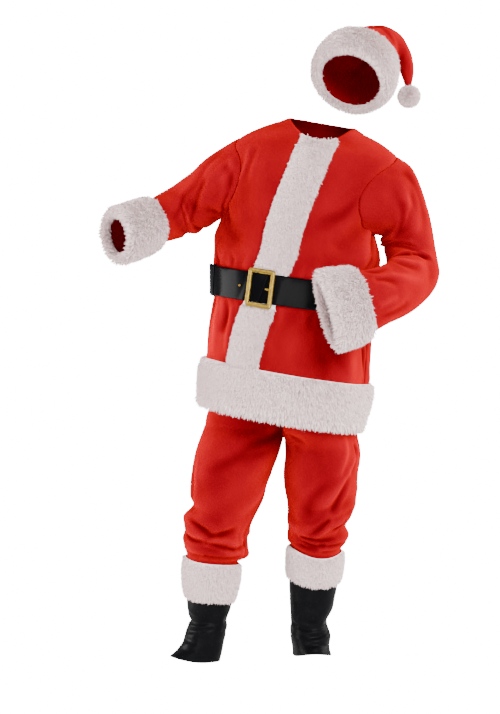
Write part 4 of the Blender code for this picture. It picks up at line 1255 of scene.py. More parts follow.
@dataclass(frozen=True)
class Finish:
    """A named material."""

    name: str
    colour: Tone
    roughness: float

    def material(self) -> bpy.types.Material:
        """The material, made once."""
        found = bpy.data.materials.get(self.name)
        if found:
            return found
        made = bpy.data.materials.new(self.name)
        made.use_nodes = True
        tree = made.node_tree
        shader = tree.nodes["Principled BSDF"]
        feed(tree, shader, {"Base Color": self.colour, "Roughness": self.roughness})
        self.dress(tree, shader)
        return made

    def dress(self, tree: Tree, shader: Node) -> None:
        """Adds what this finish has; the plain one has nothing more."""

    def scaled(self, *factors: float) -> tuple[float, ...]:
        """The finish's colour, each channel times its own factor, or all times one."""
        return tuple(min(1.0, tone * factor) for tone, factor in zip(self.colour, factors * 3))

    @staticmethod
    def place(tree: Tree) -> Socket:
        """The object's own coordinates."""
        return tree.nodes.new("ShaderNodeTexCoord").outputs["Object"]

    @staticmethod
    def bump(tree: Tree, shader: Node, height: Socket, strength: float, distance: float) -> None:
        """Raises the surface by a height socket."""
        node = add_node(tree, "ShaderNodeBump",
                        {"Strength": strength, "Distance": distance, "Height": height})
        feed(tree, shader, {"Normal": node.outputs["Normal"]})


def pile_group() -> Tree:
    """How a brushed pile lies: broad strokes, small crushed marks and its nap's grain."""
    found = bpy.data.node_groups.get("brushed_pile")
    if found:
        return found
    group = bpy.data.node_groups.new("brushed_pile", "ShaderNodeTree")
    group.interface.new_socket(name="Place", in_out="INPUT", socket_type="NodeSocketVector")
    for title, value in (("Strokes", 7.0), ("Marks", 38.0), ("Grain", 900.0)):
        socket = group.interface.new_socket(name=title, in_out="INPUT",
                                            socket_type="NodeSocketFloat")
        socket.default_value = value
    for title in ("Tone", "Height"):
        group.interface.new_socket(name=title, in_out="OUTPUT", socket_type="NodeSocketFloat")
    enter, leave = group.nodes.new("NodeGroupInput"), group.nodes.new("NodeGroupOutput")
    noises = []
    for title, detail, upright in (("Strokes", 3.0, 0.45), ("Marks", 4.0, 0.6),
                                   ("Grain", 2.0, 0.5)):
        squash = add_node(group, "ShaderNodeMapping",
                          {"Scale": (1.0, 1.0, upright), "Vector": enter.outputs["Place"]})
        noises.append(add_noise(group, squash.outputs[0], enter.outputs[title], detail))
    strokes, marks, grain = noises
    feed(group, leave, {"Tone": add_sum(group, (strokes, 0.55), (marks, 0.33), (grain, 0.12)),
                        "Height": add_sum(group, (marks, 0.75), (grain, 0.25))})
    return group


@dataclass(frozen=True)
class VelourFinish(Finish):
    """Brushed velour: soft, with a pale sheen where it turns away, partly from the shader's sheen
    and partly a painted sheen: its colour turns to a brighter edge tone towards grazing angles.
    """

    # painted sheen: the brighter colour the velour turns to towards grazing angles
    edge: Tone = (0.43, 0.0015, 0.0055)
    sheen: float = 0.12
    sheen_tint: Tone = (1.0, 0.02, 0.01)

    def dress(self, tree: Tree, shader: Node) -> None:
        """Nap marks in colour and relief, a painted sheen towards grazing edges, painted shade in
        troughs and painted highlight on ridges, and the shader's sheen.
        """
        pile = add_node(tree, "ShaderNodeGroup", node_tree=pile_group())
        feed(tree, pile, {"Place": self.place(tree)})
        # painted sheen: the colour is mixed from its own tone to the brighter edge tone as the
        # surface turns away, with the nap's random tone added
        facing = add_node(tree, "ShaderNodeLayerWeight", {"Blend": 0.5}).outputs["Facing"]
        turned = add_math(tree, "ADD", add_range(tree, facing, 0.08, 0.8, 0.0, 0.92),
                          add_range(tree, pile.outputs["Tone"], 0.30, 0.68, -0.12, 0.16))
        # painted shade in troughs and painted highlight on ridges: the fold lift kept on the points
        # darkens or lightens the colour
        colour_with_painted_sheen_and_shade = add_node(tree, "ShaderNodeHueSaturation", {
            "Color": add_mix(tree, turned, self.colour, self.edge),
            "Value": add_range(tree, add_attribute(tree, "fold"), -5.0, 5.0, 0.5, 1.5)})
        self.bump(tree, shader, pile.outputs["Height"], 0.22, 0.0012)
        feed(tree, shader, {"Base Color": colour_with_painted_sheen_and_shade.outputs[0], "Specular IOR Level": 0.0,
                            "Sheen Weight": self.sheen, "Sheen Roughness": 0.36,
                            "Sheen Tint": self.sheen_tint})


@dataclass(frozen=True)
class PlushFinish(Finish):
    """White plush: darker at the tufts' roots than at their tips as painted shade deep in the pile,
    and locks of slightly different warmth.
    """

    # painted shade: the darker colour at the tufts' roots, where they shade each other
    root: Tone = (0.93, 0.83, 0.825)

    def dress(self, tree: Tree, shader: Node) -> None:
        """Painted shade from the tuft's own height, darker towards its root, and tone from its
        number, where it has them.
        """
        share = add_range(tree, add_attribute(tree, "rise"), 0.0, 0.75, 0.0, 1.0)
        warmth = add_sum(tree, (add_attribute(tree, "lock"), 0.5),
                         (add_noise(tree, self.place(tree), 26.0, 3.0), 0.5))
        tinted = add_mix(tree, add_range(tree, warmth, 0.3, 0.75, 0.0, 1.0), self.colour,
                         self.scaled(0.97, 0.95, 0.95))
        colour = add_mix(tree, 1.0, add_mix(tree, share, self.root, self.colour), tinted,
                         "MULTIPLY")
        feed(tree, shader, {"Base Color": colour, "Specular IOR Level": 0.2,
                            "Sheen Weight": 0.4, "Sheen Roughness": 0.5})


@dataclass(frozen=True)
class BackingFinish(Finish):
    """The knitted back under the plush, close and dull."""

    def dress(self, tree: Tree, shader: Node) -> None:
        """A fine mottle."""
        fine = add_noise(tree, self.place(tree), 420.0, 2.0)
        feed(tree, shader, {"Base Color": add_mix(tree, fine, self.colour, self.scaled(1.12))})
        self.bump(tree, shader, fine, 0.5, 0.001)


@dataclass(frozen=True)
class VinylFinish(Finish):
    """Coated vinyl with a pressed leather grain, a little dull where it is rubbed."""

    grain: float = 420.0
    relief: float = 0.25
    coat: float = 0.0
    shine: float = 0.2

    def dress(self, tree: Tree, shader: Node) -> None:
        """Grain, creased patches and a changing gloss."""
        place = self.place(tree)
        cells = add_node(tree, "ShaderNodeTexVoronoi", {"Scale": self.grain, "Vector": place})
        wear = add_noise(tree, place, 14.0, 5.0, 0.6)
        fine = add_noise(tree, place, 160.0, 3.0)
        dusty = tuple(tone * 1.6 + 0.001 for tone in self.colour)
        self.bump(tree, shader, add_sum(tree, (cells.outputs["Distance"], 0.4), (fine, 0.6)),
                  self.relief, 0.0008)
        feed(tree, shader, {
            "Base Color": add_mix(tree, add_range(tree, wear, 0.5, 0.8, 0.0, 0.7),
                                  self.colour, dusty),
            "Roughness": add_range(tree, wear, 0.35, 0.7,
                                   self.roughness * 0.85, self.roughness * 1.35),
            "Specular IOR Level": self.shine, "Coat Weight": self.coat, "Coat Roughness": 0.18})


@dataclass(frozen=True)
class GoldFinish(Finish):
    """Cast antique gold: bright where rubbed, brown in its hollows."""

    patina: Tone = (0.16, 0.09, 0.03)

    def dress(self, tree: Tree, shader: Node) -> None:
        """A beaten relief and patina in its low places."""
        place = self.place(tree)
        beaten = add_node(tree, "ShaderNodeTexVoronoi", feature="SMOOTH_F1")
        feed(tree, beaten, {"Scale": 330.0, "Vector": place})
        low = add_sum(tree, (beaten.outputs["Distance"], 0.8),
                      (add_noise(tree, place, 120.0, 4.0), 0.6))
        share = add_range(tree, low, 0.35, 0.85, 0.0, 0.8)
        self.bump(tree, shader, add_math(tree, "SUBTRACT", 1.0, low), 0.55, 0.0009)
        feed(tree, shader, {"Base Color": add_mix(tree, share, self.colour, self.patina),
                            "Roughness": add_range(tree, low, 0.3, 0.9, self.roughness, 0.62),
                            "Metallic": 1.0})


# the edge tones of both velours are painted sheen, brighter towards grazing angles
VELOUR = VelourFinish("red velour", (0.185, 0.001, 0.005), 0.85)
VELOUR_BACK = VelourFinish("velour back", (0.15, 0.0, 0.003), 0.95, edge=(0.2, 0.0, 0.003),
                           sheen=0.03)
PLUSH_WHITE = PlushFinish("white plush", (0.97, 0.875, 0.87), 0.9)
PLUSH_BACK = BackingFinish("plush backing", (0.93, 0.83, 0.825), 0.95)
BELT_BLACK = VinylFinish("glossy belt vinyl", (0.002, 0.002, 0.0025), 0.22, grain=520.0,
                         relief=0.08, coat=0.04, shine=0.01)
BOOT_BLACK = VinylFinish("matt boot vinyl", (0.0025, 0.0025, 0.003), 0.40, grain=420.0,
                         relief=0.3, shine=0.035)
BUCKLE_GOLD = GoldFinish("antique gold", (0.42, 0.28, 0.03), 0.30)


# ---------------- plush
def tuft_object(width: float, height: float, curl: float) -> bpy.types.Object:
    """A bent kite of two faces that comes to a point at both ends, rising along +Z.

    Args:
        width: Metres across.
        height: Metres up.
        curl: How far its tip bends over.

    Returns:
        An object outside the scene, to be planted.
    """
    body = bmesh.new()
    bmesh.ops.create_grid(body, x_segments=1, y_segments=1, size=0.5)
    rise = body.verts.layers.float.new("rise")
    for vert in body.verts:
        across, up = vert.co.x - vert.co.y, (vert.co.x + vert.co.y + 1.0) / 2
        up = up * (0.7 + 0.3 * up)
        vert[rise] = up
        vert.co = Vector((across * width, curl * up * up, up * height))
    return bpy.data.objects.new("tuft", to_mesh("tuft", body))


@dataclass(frozen=True)
class Fur:
    """How a plush piece's tufts stand."""

    tufts: int                # about how many on the piece
    length: float             # millimetres
    width: float = 1.5
    lean: float = 1.15        # how far they follow the piece's comb
    spread: float = 0.30      # how far each goes its own way
    clump: float = 0.26       # how far neighbours go the same way
    droop: float = 0.15       # share of their length that the tips sink
    curl: float = 0.25        # share of their length that they bend over

    def tree(self, tuft: bpy.types.Object, density: float, seed: int) -> Tree:
        """The nodes that set tufts on a bed, by its fur, long and comb attributes.

        Args:
            tuft: One tuft.
            density: Tufts on a square metre of full fur.
            seed: Fixes where they stand.

        Returns:
            The node group.
        """
        group = bpy.data.node_groups.new("grow_tufts", "GeometryNodeTree")
        for way in ("INPUT", "OUTPUT"):
            group.interface.new_socket(name="Geometry", in_out=way,
                                       socket_type="NodeSocketGeometry")
        enter, leave = group.nodes.new("NodeGroupInput"), group.nodes.new("NodeGroupOutput")

        def vector(kind: str, first: Socket, second: Any) -> Socket:
            """A vector sum or product of sockets or tuples."""
            return add_node(group, "ShaderNodeVectorMath", {0: first, 1: second},
                            operation=kind).outputs[0]

        def attribute(title: str, kind: str = "FLOAT") -> Socket:
            """A named attribute of the bed."""
            return add_node(group, "GeometryNodeInputNamedAttribute", {"Name": title},
                            data_type=kind).outputs["Attribute"]

        def chance(kind: str, step: int, inputs: Inputs) -> Node:
            """A random value for each tuft, with its own step from the piece's seed."""
            inputs = {**inputs, "Seed": seed + step}
            return add_node(group, "FunctionNodeRandomValue", inputs, data_type=kind)

        scatter = add_node(group, "GeometryNodeDistributePointsOnFaces", {
            "Mesh": enter.outputs[0], "Seed": seed,
            "Density": add_math(group, "MULTIPLY", attribute("fur"), density),
            }, distribute_method="RANDOM")
        position = group.nodes.new("GeometryNodeInputPosition").outputs[0]
        noise = add_node(group, "ShaderNodeTexNoise", {
            "Scale": 62.0, "Detail": 2.0, "Vector": position}, noise_dimensions="3D")
        swirl = vector("MULTIPLY", vector("SUBTRACT", noise.outputs["Color"], (0.5,) * 3),
                       (self.clump * 4,) * 3)
        stray = chance("FLOAT_VECTOR", 3, {0: (-self.spread,) * 3, 1: (self.spread,) * 3})
        combed = vector("MULTIPLY", attribute("comb", "FLOAT_VECTOR"), (self.lean,) * 3)
        heading = vector("ADD", vector("ADD", scatter.outputs["Normal"], combed),
                         vector("ADD", swirl, stray.outputs[0]))
        aim = add_node(group, "FunctionNodeAlignEulerToVector", {"Vector": heading}, axis="Z")
        spin = chance("FLOAT_VECTOR", 5, {1: (0.0, 0.0, math.tau)})
        turned = add_node(group, "FunctionNodeRotateEuler", {0: aim.outputs[0], 1: spin.outputs[0]},
                          rotation_type="EULER", space="LOCAL")
        size = chance("FLOAT", 7, {2: 0.62, 3: 1.12})
        source = add_node(group, "GeometryNodeObjectInfo", {"Object": tuft})
        plant = add_node(group, "GeometryNodeInstanceOnPoints", {
            "Points": scatter.outputs["Points"], "Instance": source.outputs["Geometry"],
            "Rotation": turned.outputs[0],
            "Scale": add_math(group, "MULTIPLY", size.outputs[1], attribute("long"))})
        store = add_node(group, "GeometryNodeStoreNamedAttribute", data_type="FLOAT",
                         domain="INSTANCE")
        feed(group, store, {"Name": "lock", "Geometry": plant.outputs[0],
                            "Value": chance("FLOAT", 11, {}).outputs[1]})
        real = add_node(group, "GeometryNodeRealizeInstances", {0: store.outputs[0]})
        rise = attribute("rise")
        sink = add_math(group, "MULTIPLY", add_math(group, "MULTIPLY", rise, rise),
                        -self.droop * self.length * MM)
        drop = add_node(group, "ShaderNodeCombineXYZ", {"Z": sink})
        move = add_node(group, "GeometryNodeSetPosition",
                        {"Geometry": real.outputs[0], "Offset": drop.outputs[0]})
        feed(group, leave, {0: move.outputs[0]})
        return group

    def grow(self, name: str, bed: bpy.types.Mesh, seed: int) -> bpy.types.Object:
        """Grows the tufts of one piece.

        Args:
            name: The new object's name.
            bed: A mesh whose vertices carry fur (how thick), long (how long) and comb (which way).
            seed: Fixes where they stand.

        Returns:
            One object of all its tufts, with no modifiers left.
        """
        weights = np.zeros(len(bed.vertices))
        bed.attributes["fur"].data.foreach_get("value", weights)
        area = sum(face.area * weights[list(face.vertices)].mean() for face in bed.polygons)
        length = self.length * MM
        tuft = tuft_object(self.width * MM, length, self.curl * length)
        obj = place_object(name, bed.copy())
        nodes = obj.modifiers.new("tufts", "NODES")
        nodes.node_group = self.tree(tuft, self.tufts / max(area, 1e-6), seed)
        ready = obj.evaluated_get(bpy.context.evaluated_depsgraph_get())
        mesh = bpy.data.meshes.new_from_object(ready)
        obj.modifiers.clear()
        obj.data = mesh
        bpy.data.objects.remove(tuft)
        mesh.name = name
        mesh.materials.clear()
        mesh.materials.append(PLUSH_WHITE.material())
        mesh.shade_smooth()
        log.info("%s: %d tufts", name, len(mesh.polygons))
        return obj


@dataclass
class PlushBand:
    """A plush trim: its lining cloth on a surface, and the tufts that grow on it."""

    name: str
    node: str
    surface: Surface
    start: float              # place of its open end, where it is turned in
    end: float                # place of its other edge
    height: float
    fur: Fur
    turned_in: float = 14.0   # how far it goes inside, 0 for not at all
    base: float = CLOTH + LIE
    columns: int = 120
    rows: int = 15
    firm: float = 0.5         # how much of its height the lining has
    seed: int = 1
    down: float = 0.35        # how far gravity combs it
    fringe: float = 1.0       # how much longer it is at its open end

    held = "gathered"
    closed = True

    def path(self) -> tuple[Points, Points, Points, Points]:
        """Places, outs, fur and comb along its section, from inside the open end."""
        way = 1.0 if self.end > self.start else -1.0
        share = np.linspace(0.0, 1.0, self.rows)
        outs = self.base + self.height * self.firm * (
            0.12 + 0.88 * (1 - np.abs(2 * share - 1) ** 3.2))
        places = self.start + (self.end - self.start) * share
        fur = np.ones(self.rows)
        comb = -way * (0.95 - 0.35 * share)
        if self.turned_in:
            inside = np.linspace(self.turned_in, 1.0, 4)
            places = np.concatenate([self.start + way * inside, places])
            outs = np.concatenate([[-1.6, -2.4, -2.8, -2.0], outs])
            fur = np.concatenate([[0.0, 0.35, 0.8, 1.0], fur])
            comb = np.concatenate([np.full(4, -way * 0.8), comb])
        return (np.append(places, self.end + way * 0.6), np.append(outs, self.base),
                np.append(fur, 0.3), np.append(comb, -way))

    def dress(self, points: Points, fur: Points, combs: Points, long: Points,
              inside: Optional[Points] = None) -> None:
        """Lays the lining, grows its tufts and ties the lining to the node.

        Args:
            points: Outer face of the lining.
            fur: How thick it grows.
            combs: Which way it is combed.
            long: How long it is.
            inside: A point behind the lining, where it is not closed.
        """
        cloth = lay_cloth(self.name + "_lining", points, PLUSH_BACK, closed=self.closed,
                          thick=LINING, extras={"fur": fur, "comb": combs, "long": long},
                          inside=inside)
        pile = attach(self.fur.grow(self.name + "_pile", cloth.obj.data, self.seed))
        declare(cloth, [self.node])

    def build(self) -> None:
        """The trim, which runs all round its surface."""
        places, outs, fur, comb = self.path()
        angle, place = all_round(places, self.columns)
        puff = 1.0 + 0.10 * np.sin(angle * 9 + place / 29) * np.sin(place / 17 + angle * 4)
        outs = outs[:, None]
        out = np.where(outs > self.base, self.base + (outs - self.base) * puff, outs)
        along = unit(self.surface.at(angle, place + 2.0, out)
                     - self.surface.at(angle, place - 2.0, out))
        self.dress(self.surface.at(angle, place, out), np.broadcast_to(fur[:, None], angle.shape),
                   along * comb[:, None, None] + np.array([0.0, 0.0, -self.down]),
                   1 + (self.fringe - 1) * bell(place - self.start, 12.0))


@dataclass
class FrontPlush(PlushBand):
    """The plush band down the jacket's front, pressed by the belt."""

    held = "hung"
    closed = False

    def build(self) -> None:
        """The band, from its left edge to its right one, with the belt's press in it."""
        places = np.linspace(self.start, self.end, self.rows)
        seam = front_angle(places)
        half = BAND_HALF / ring_speed(seam, places)
        angle = seam[:, None] + half[:, None] * np.linspace(-1.0, 1.0, self.columns)[None, :]
        angle, place = spread_places(places, angle)
        across = np.linspace(0.0, 1.0, self.columns)[None, :]
        edge = 0.10 + 0.90 * (1 - np.abs(2 * across - 1) ** 3.2)
        ends = np.minimum(1.0, 0.35 + np.minimum(place - self.start, self.end - place) / 12.0)
        puff = 1.0 + 0.12 * np.sin(angle * 23 + place / 21) * np.sin(place / 15 + across * 5)
        height = band_height(place)
        out = self.base + height * self.firm * edge * ends * puff
        step = self.surface.step / self.surface.radius
        side = unit(self.surface.at(angle + step, place, out)
                    - self.surface.at(angle - step, place, out))
        under = np.clip((height - PLUSH_PRESSED - 1.0) / 5.0, 0.0, 1.0)
        self.dress(self.surface.at(angle, place, out), under,
                   side * ((2 * across - 1) * 0.45)[..., None] + np.array([0.0, 0.0, -0.9]),
                   np.ones_like(under), self.surface.middle(places[self.rows // 2]))


# ---------------- the jacket
def lay_velour(node: str, points: Points, hollows: Points, closed: bool = False) -> None:
    """Lays a velour piece and ties it to the node it is named for.

    Args:
        node: The solid it stands for.
        points: Its outer face.
        hollows: Painted shade in troughs and painted highlight on ridges, which tone its colour.
        closed: Whether its last column is sewn to its first.
    """
    # the fold lift kept on the points paints shade in the velour's troughs and highlight on its
    # ridges
    cloth = lay_cloth(node + "_cloth", points, VELOUR, closed=closed, back=VELOUR_BACK,
                      extras={"fold": hollows})
    declare(cloth, [node])


@dataclass
class Jacket:
    """The jacket's three panels, its sleeves and its plush."""

    columns: int = 80
    back_columns: int = 84
    sleeve_columns: int = 120
    sleeve_step: float = 3.7

    def rows(self) -> Points:
        """Places from the hem to the neck, closer together at the armhole's ends."""
        turn = np.linspace(0.0, math.pi, 42)
        return np.concatenate([np.linspace(JACKET[0].z, ARMPIT, 108)[:-1],
                               ARMPIT + (SHOULDER_TIP - ARMPIT) * (1 - np.cos(turn)) / 2,
                               np.linspace(SHOULDER_TIP, JACKET[-1].z, 16)[1:]])

    def panel(self, node: str, columns: int, start: Points, end: Points) -> None:
        """Lays one panel with the pull of its seams along both edges.

        Args:
            node: The solid it stands for.
            columns: Columns across it.
            start: Angles of its first edge.
            end: Angles of its other edge.
        """
        angle = between(start, end, np.linspace(0.0, 1.0, columns))
        angle, place = spread_places(self.rows(), angle)
        edge = np.minimum(np.abs(angle - angle[:, :1]), np.abs(angle - angle[:, -1:])) * BODY_RADIUS
        top = np.clip(JACKET[-1].z - place, 0, None)
        pucker = (seam_pucker(edge, place, 5.3, 23, 11.0) + 0.8 * bell(top - 4, 5.0)
                  - 0.7 * bell(top - 12, 1.8))
        lay_velour(node, BODY.at(angle, place, CLOTH + pucker), BODY.hollows(angle, place))

    def front(self, side: Side) -> None:
        """One front panel, from the opening to its side line or armhole."""
        places = self.rows()
        seam, spread = front_angle(places), armhole_spread(places)
        line = spread if side is Side.LEFT else math.pi - spread
        self.panel("jacket_front_" + side.value, self.columns,
                   seam - side.sign * seam_gap(seam, places),
                   line + side.sign * seam_gap(line, places))

    def back(self) -> None:
        """The back panel, from the right side line to the left one."""
        places = self.rows()
        spread = armhole_spread(places)
        gap = seam_gap(np.full_like(places, math.pi), places)
        self.panel("jacket_back", self.back_columns,
                   math.pi + spread + gap, math.tau - spread - gap)

    def sleeve(self, side: Side) -> None:
        """A sleeve from its armhole to its end inside the cuff."""
        surface = SLEEVES[side]
        end = surface.length - CUFF_BEYOND
        places = np.linspace(0.0, end, round(end / self.sleeve_step) + 1)
        angle, place = all_round(places, self.sleeve_columns)
        under = np.abs((angle - math.pi) * surface.radius)
        pucker = (-0.6 * bell(under, 3.5) - 0.5 * bell(place - 2.0, 3.0)
                  + 0.6 * ripple(angle, 1.9) * bell(place - 12, 12.0))
        lay_velour("sleeve_" + side.value, surface.at(angle, place, CLOTH + pucker),
                   surface.hollows(angle, place), closed=True)

    def cuff(self, side: Side) -> None:
        """The plush cuff of a sleeve."""
        surface = SLEEVES[side]
        PlushBand("cuff_" + side.value, "plush_cuff_" + side.value, surface, surface.length,
                  surface.length - CUFF_LENGTH[side], PLUSH, Fur(20000, 13.0, width=1.55),
                  seed=20 + side.sign, columns=110, down=0.12, fringe=1.7).build()

    def build(self) -> None:
        """All of the jacket."""
        for side in Side:
            self.front(side)
            self.sleeve(side)
            self.cuff(side)
        self.back()
        PlushBand("hem", "plush_hem_band", BED, JACKET[0].z, BAND_TOP, PLUSH,
                  Fur(43000, 13.8, width=1.7), columns=260, seed=7, down=0.2, fringe=1.8).build()
        FrontPlush("front", "plush_front_band", BED, BAND_TOP + BAND_CLEAR, JACKET[-1].z,
                   PLUSH_FRONT, Fur(27000, 10.0, width=1.55), rows=190, columns=22,
                   seed=11).build()


# ---------------- the belt
def lay_solid(node: str, ending: str, body: bmesh.types.BMesh, finish: Finish) -> bpy.types.Object:
    """Turns a bmesh into a piece that shows one node.

    Args:
        node: The solid it stands for.
        ending: What its name adds to the node's.
        body: Its shape.
        finish: Its finish.

    Returns:
        The piece.
    """
    name = node + ending
    obj = attach(place_object(name, to_mesh(name, body, finish)), [node])
    log.info("%s: %d faces", name, len(obj.data.polygons))
    return obj


@dataclass
class Belt:
    """The belt with its buckle, prong, rivet, keeper and free end."""

    columns: int = 220
    keeper_from: float = 0.5      # shares of the way from the front band to the side line
    keeper_to: float = 4 / 6
    keeper_thick: float = 1.6
    end_at: float = 5 / 6
    buckle_width: float = 74.0
    buckle_height: float = 99.0
    buckle_bar: float = 11.5
    buckle_thick: float = 5.0
    buckle_corner: float = 3.5
    prong_half: tuple[float, float, float] = (6.0, 3.0, 2.0)
    rivet_radius: float = 3.4
    low: float = BELT_LOW
    high: float = BELT_HIGH

    @staticmethod
    def vinyl(node: str, points: Points, closed: bool = False, thick: float = STRAP,
              inside: Optional[Points] = None) -> None:
        """Lays a piece of the strap's vinyl and ties it to its node.

        Args:
            node: The solid it stands for.
            points: Its outer face.
            closed: Whether it runs all round.
            thick: Its wall.
            inside: A point behind it.
        """
        cloth = lay_cloth(node + "_vinyl", points, BELT_BLACK, closed=closed, thick=thick,
                          inside=inside)
        declare(cloth, [node])

    def base(self, angle: Points, place: Points) -> Points:
        """How far the strap's back lies off the inner face of the jacket."""
        away = np.abs(angle - front_angle(place)) * ring_speed(angle, place)
        over = 1 - smooth_step((away - BAND_HALF + 2) / 16.0)
        return CLOTH + LIE + STRAP_EASE + (PLUSH_PRESSED + LIE - STRAP_EASE) * over

    def rows(self) -> tuple[Points, Points]:
        """Places across the strap and how far its rounded edges fall away."""
        share = np.concatenate([[0.0, 0.012, 0.03], np.linspace(0.06, 0.94, 15),
                                [0.97, 0.988, 1.0]])
        edge = np.minimum(share, 1 - share)
        fall = np.clip(1 - edge / 0.04, 0, 1) ** 2 + 0.35 * bell(edge - 0.075, 0.012)
        return self.low + (self.high - self.low) * share, -fall

    def strap(self) -> None:
        """The strap round the waist."""
        places, fall = self.rows()
        angle, place = all_round(places, self.columns)
        wave = 0.5 * np.sin(angle * 6 + 1.3) * np.sin(place / 41)
        out = self.base(angle, place) + STRAP + fall[:, None] + wave
        self.vinyl("belt_strap", BED.at(angle, place, out), closed=True)

    def free_angle(self, places: Points, share: Points) -> Points:
        """Angles between the front band's right edge (0) and the side line (1)."""
        seam = front_angle(places)
        gap = seam_gap(np.full_like(places, math.pi), places, SEAM)
        return between(seam + BAND_HALF / ring_speed(seam, places), math.pi - gap, share)

    def free_end(self) -> None:
        """The strap's end, doubled back over it and curling off at its tip."""
        places, fall = self.rows()
        edge = self.free_angle(places, np.array([0.0]))[:, 0]
        angle = np.concatenate([between(front_angle(places), edge, np.linspace(0.0, 1.0, 22)[:-1]),
                                self.free_angle(places, np.linspace(0.0, self.end_at, 54))], axis=1)
        angle, place = spread_places(places, angle)
        share = (angle - angle[:, :1]) / (angle[:, -1:] - angle[:, :1])
        curl = 5.0 * np.clip((share - 0.86) / 0.14, 0, 1) ** 2
        out = self.base(angle, place) + 2 * STRAP + LIE + fall[:, None] + curl
        self.vinyl("belt_free_end", BED.at(angle, place, out))

    def keeper(self) -> None:
        """The loop that holds the free end down."""
        share = np.linspace(self.keeper_from, self.keeper_to, 12)
        near, far = CLOTH + STRAP_EASE - 0.4, CLOTH + STRAP_EASE + 2 * STRAP + 3 * LIE + 1.4
        count = 17
        front = np.linspace(self.low - 2.0, self.high + 2.0, count)
        places = np.concatenate([front, [self.high + 3.2] * 3, front[::-1], [self.low - 3.2] * 3])
        turn = np.linspace(far, near, 5)[1:-1]
        outs = np.concatenate([np.full(count, far), turn, np.full(count, near), turn[::-1]])
        angle, place = spread_places(places, self.free_angle(places, share))
        edge = 0.5 * np.clip(1 - np.minimum(share - share[0], share[-1] - share) / 0.008, 0, 1)
        out = outs[:, None] - edge[None, :] * np.sign(outs - (near + far) / 2)[:, None]
        points = BED.at(angle, place, out)
        points = np.concatenate([points, points[:1]], axis=0)
        middle = points[:, len(share) // 2].mean(axis=0)
        self.vinyl("belt_keeper", points, thick=self.keeper_thick, inside=middle)

    def axes(self) -> tuple[Vector, Vector, Vector, Vector]:
        """The buckle's middle and its directions across, up and out."""
        place = np.array((self.low + self.high) / 2)
        angle = halve(lambda turn: BED.bare(turn, place)[..., 0] > BUCKLE_X, ())
        out = Vector(BED.normal(angle, place) * np.array([1.0, 1.0, 0.0])).normalized()
        level = Vector((0, 0, 1)).cross(out).normalized()
        tilt = math.radians(BUCKLE_TILT)
        across = level * math.cos(tilt) - Vector((0, 0, 1)) * math.sin(tilt)
        height = CLOTH + PLUSH_PRESSED + 4 * LIE + 2 * STRAP - BUCKLE_SEAT
        return Vector(BED.bare(angle, place)) + out * height, across, out.cross(across), out

    def buckle(self) -> None:
        """A cast frame with a rounded, beaded section, swept round its rectangle."""
        middle, across, up, out = self.axes()
        bar, corner = self.buckle_bar, self.buckle_corner
        half_x, half_y = (self.buckle_width - bar) / 2, (self.buckle_height - bar) / 2
        path = []
        for turn, (sx, sy) in enumerate(((1, 1), (-1, 1), (-1, -1), (1, -1))):
            for k in range(6):
                angle = math.radians(90 * turn + 90 * k / 5)
                path.append((sx * (half_x - corner) + corner * math.cos(angle),
                             sy * (half_y - corner) + corner * math.sin(angle),
                             math.cos(angle), math.sin(angle)))
        right = [(0.12, 0.78), (0.24, 0.86), (0.33, 0.98), (0.43, 0.86), (0.5, 0.62), (0.5, 0.0)]
        profile = [(-side, rise) for side, rise in reversed(right)] + right
        rows = len(profile)
        body = bmesh.new()
        bmesh.ops.create_grid(body, x_segments=len(path), y_segments=rows, size=0.5)
        for vert in body.verts:
            px, py, nx, ny = path[round((vert.co.x + 0.5) * len(path)) % len(path)]
            side, rise = profile[round((vert.co.y + 0.5) * rows) % rows]
            spot = (across * (px + nx * side * bar) + up * (py + ny * side * bar)
                    + out * rise * self.buckle_thick)
            vert.co = (middle + spot) * MM
        bmesh.ops.remove_doubles(body, verts=body.verts[:], dist=MERGE)
        bmesh.ops.recalc_face_normals(body, faces=body.faces[:])
        lay_solid("belt_buckle", "_cast", body, BUCKLE_GOLD)
        self.bead("belt_prong", self.prong_half, Matrix((across, up, out)).transposed())
        self.bead("belt_rivet", (self.rivet_radius,) * 3, Matrix.Identity(3))

    @staticmethod
    def bead(node: str, half: tuple[float, float, float], turn: Matrix) -> None:
        """A small domed casting where its solid lies: the prong's tip, or the rivet.

        Args:
            node: The solid it stands for.
            half: Half its size along its own axes.
            turn: Those axes.
        """
        body = bmesh.new()
        bmesh.ops.create_uvsphere(body, u_segments=20, v_segments=12, radius=1.0)
        low, high = (Vector(corner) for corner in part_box(node))
        bmesh.ops.transform(body, matrix=Matrix.Translation((low + high) / 2) @ turn.to_4x4()
                            @ Matrix.Diagonal((*(size * MM for size in half), 1.0)),
                            verts=body.verts[:])
        lay_solid(node, "_cast", body, BUCKLE_GOLD)

    def build(self) -> None:
        """All of the belt."""
        self.strap()
        self.free_end()
        self.keeper()
        self.buckle()


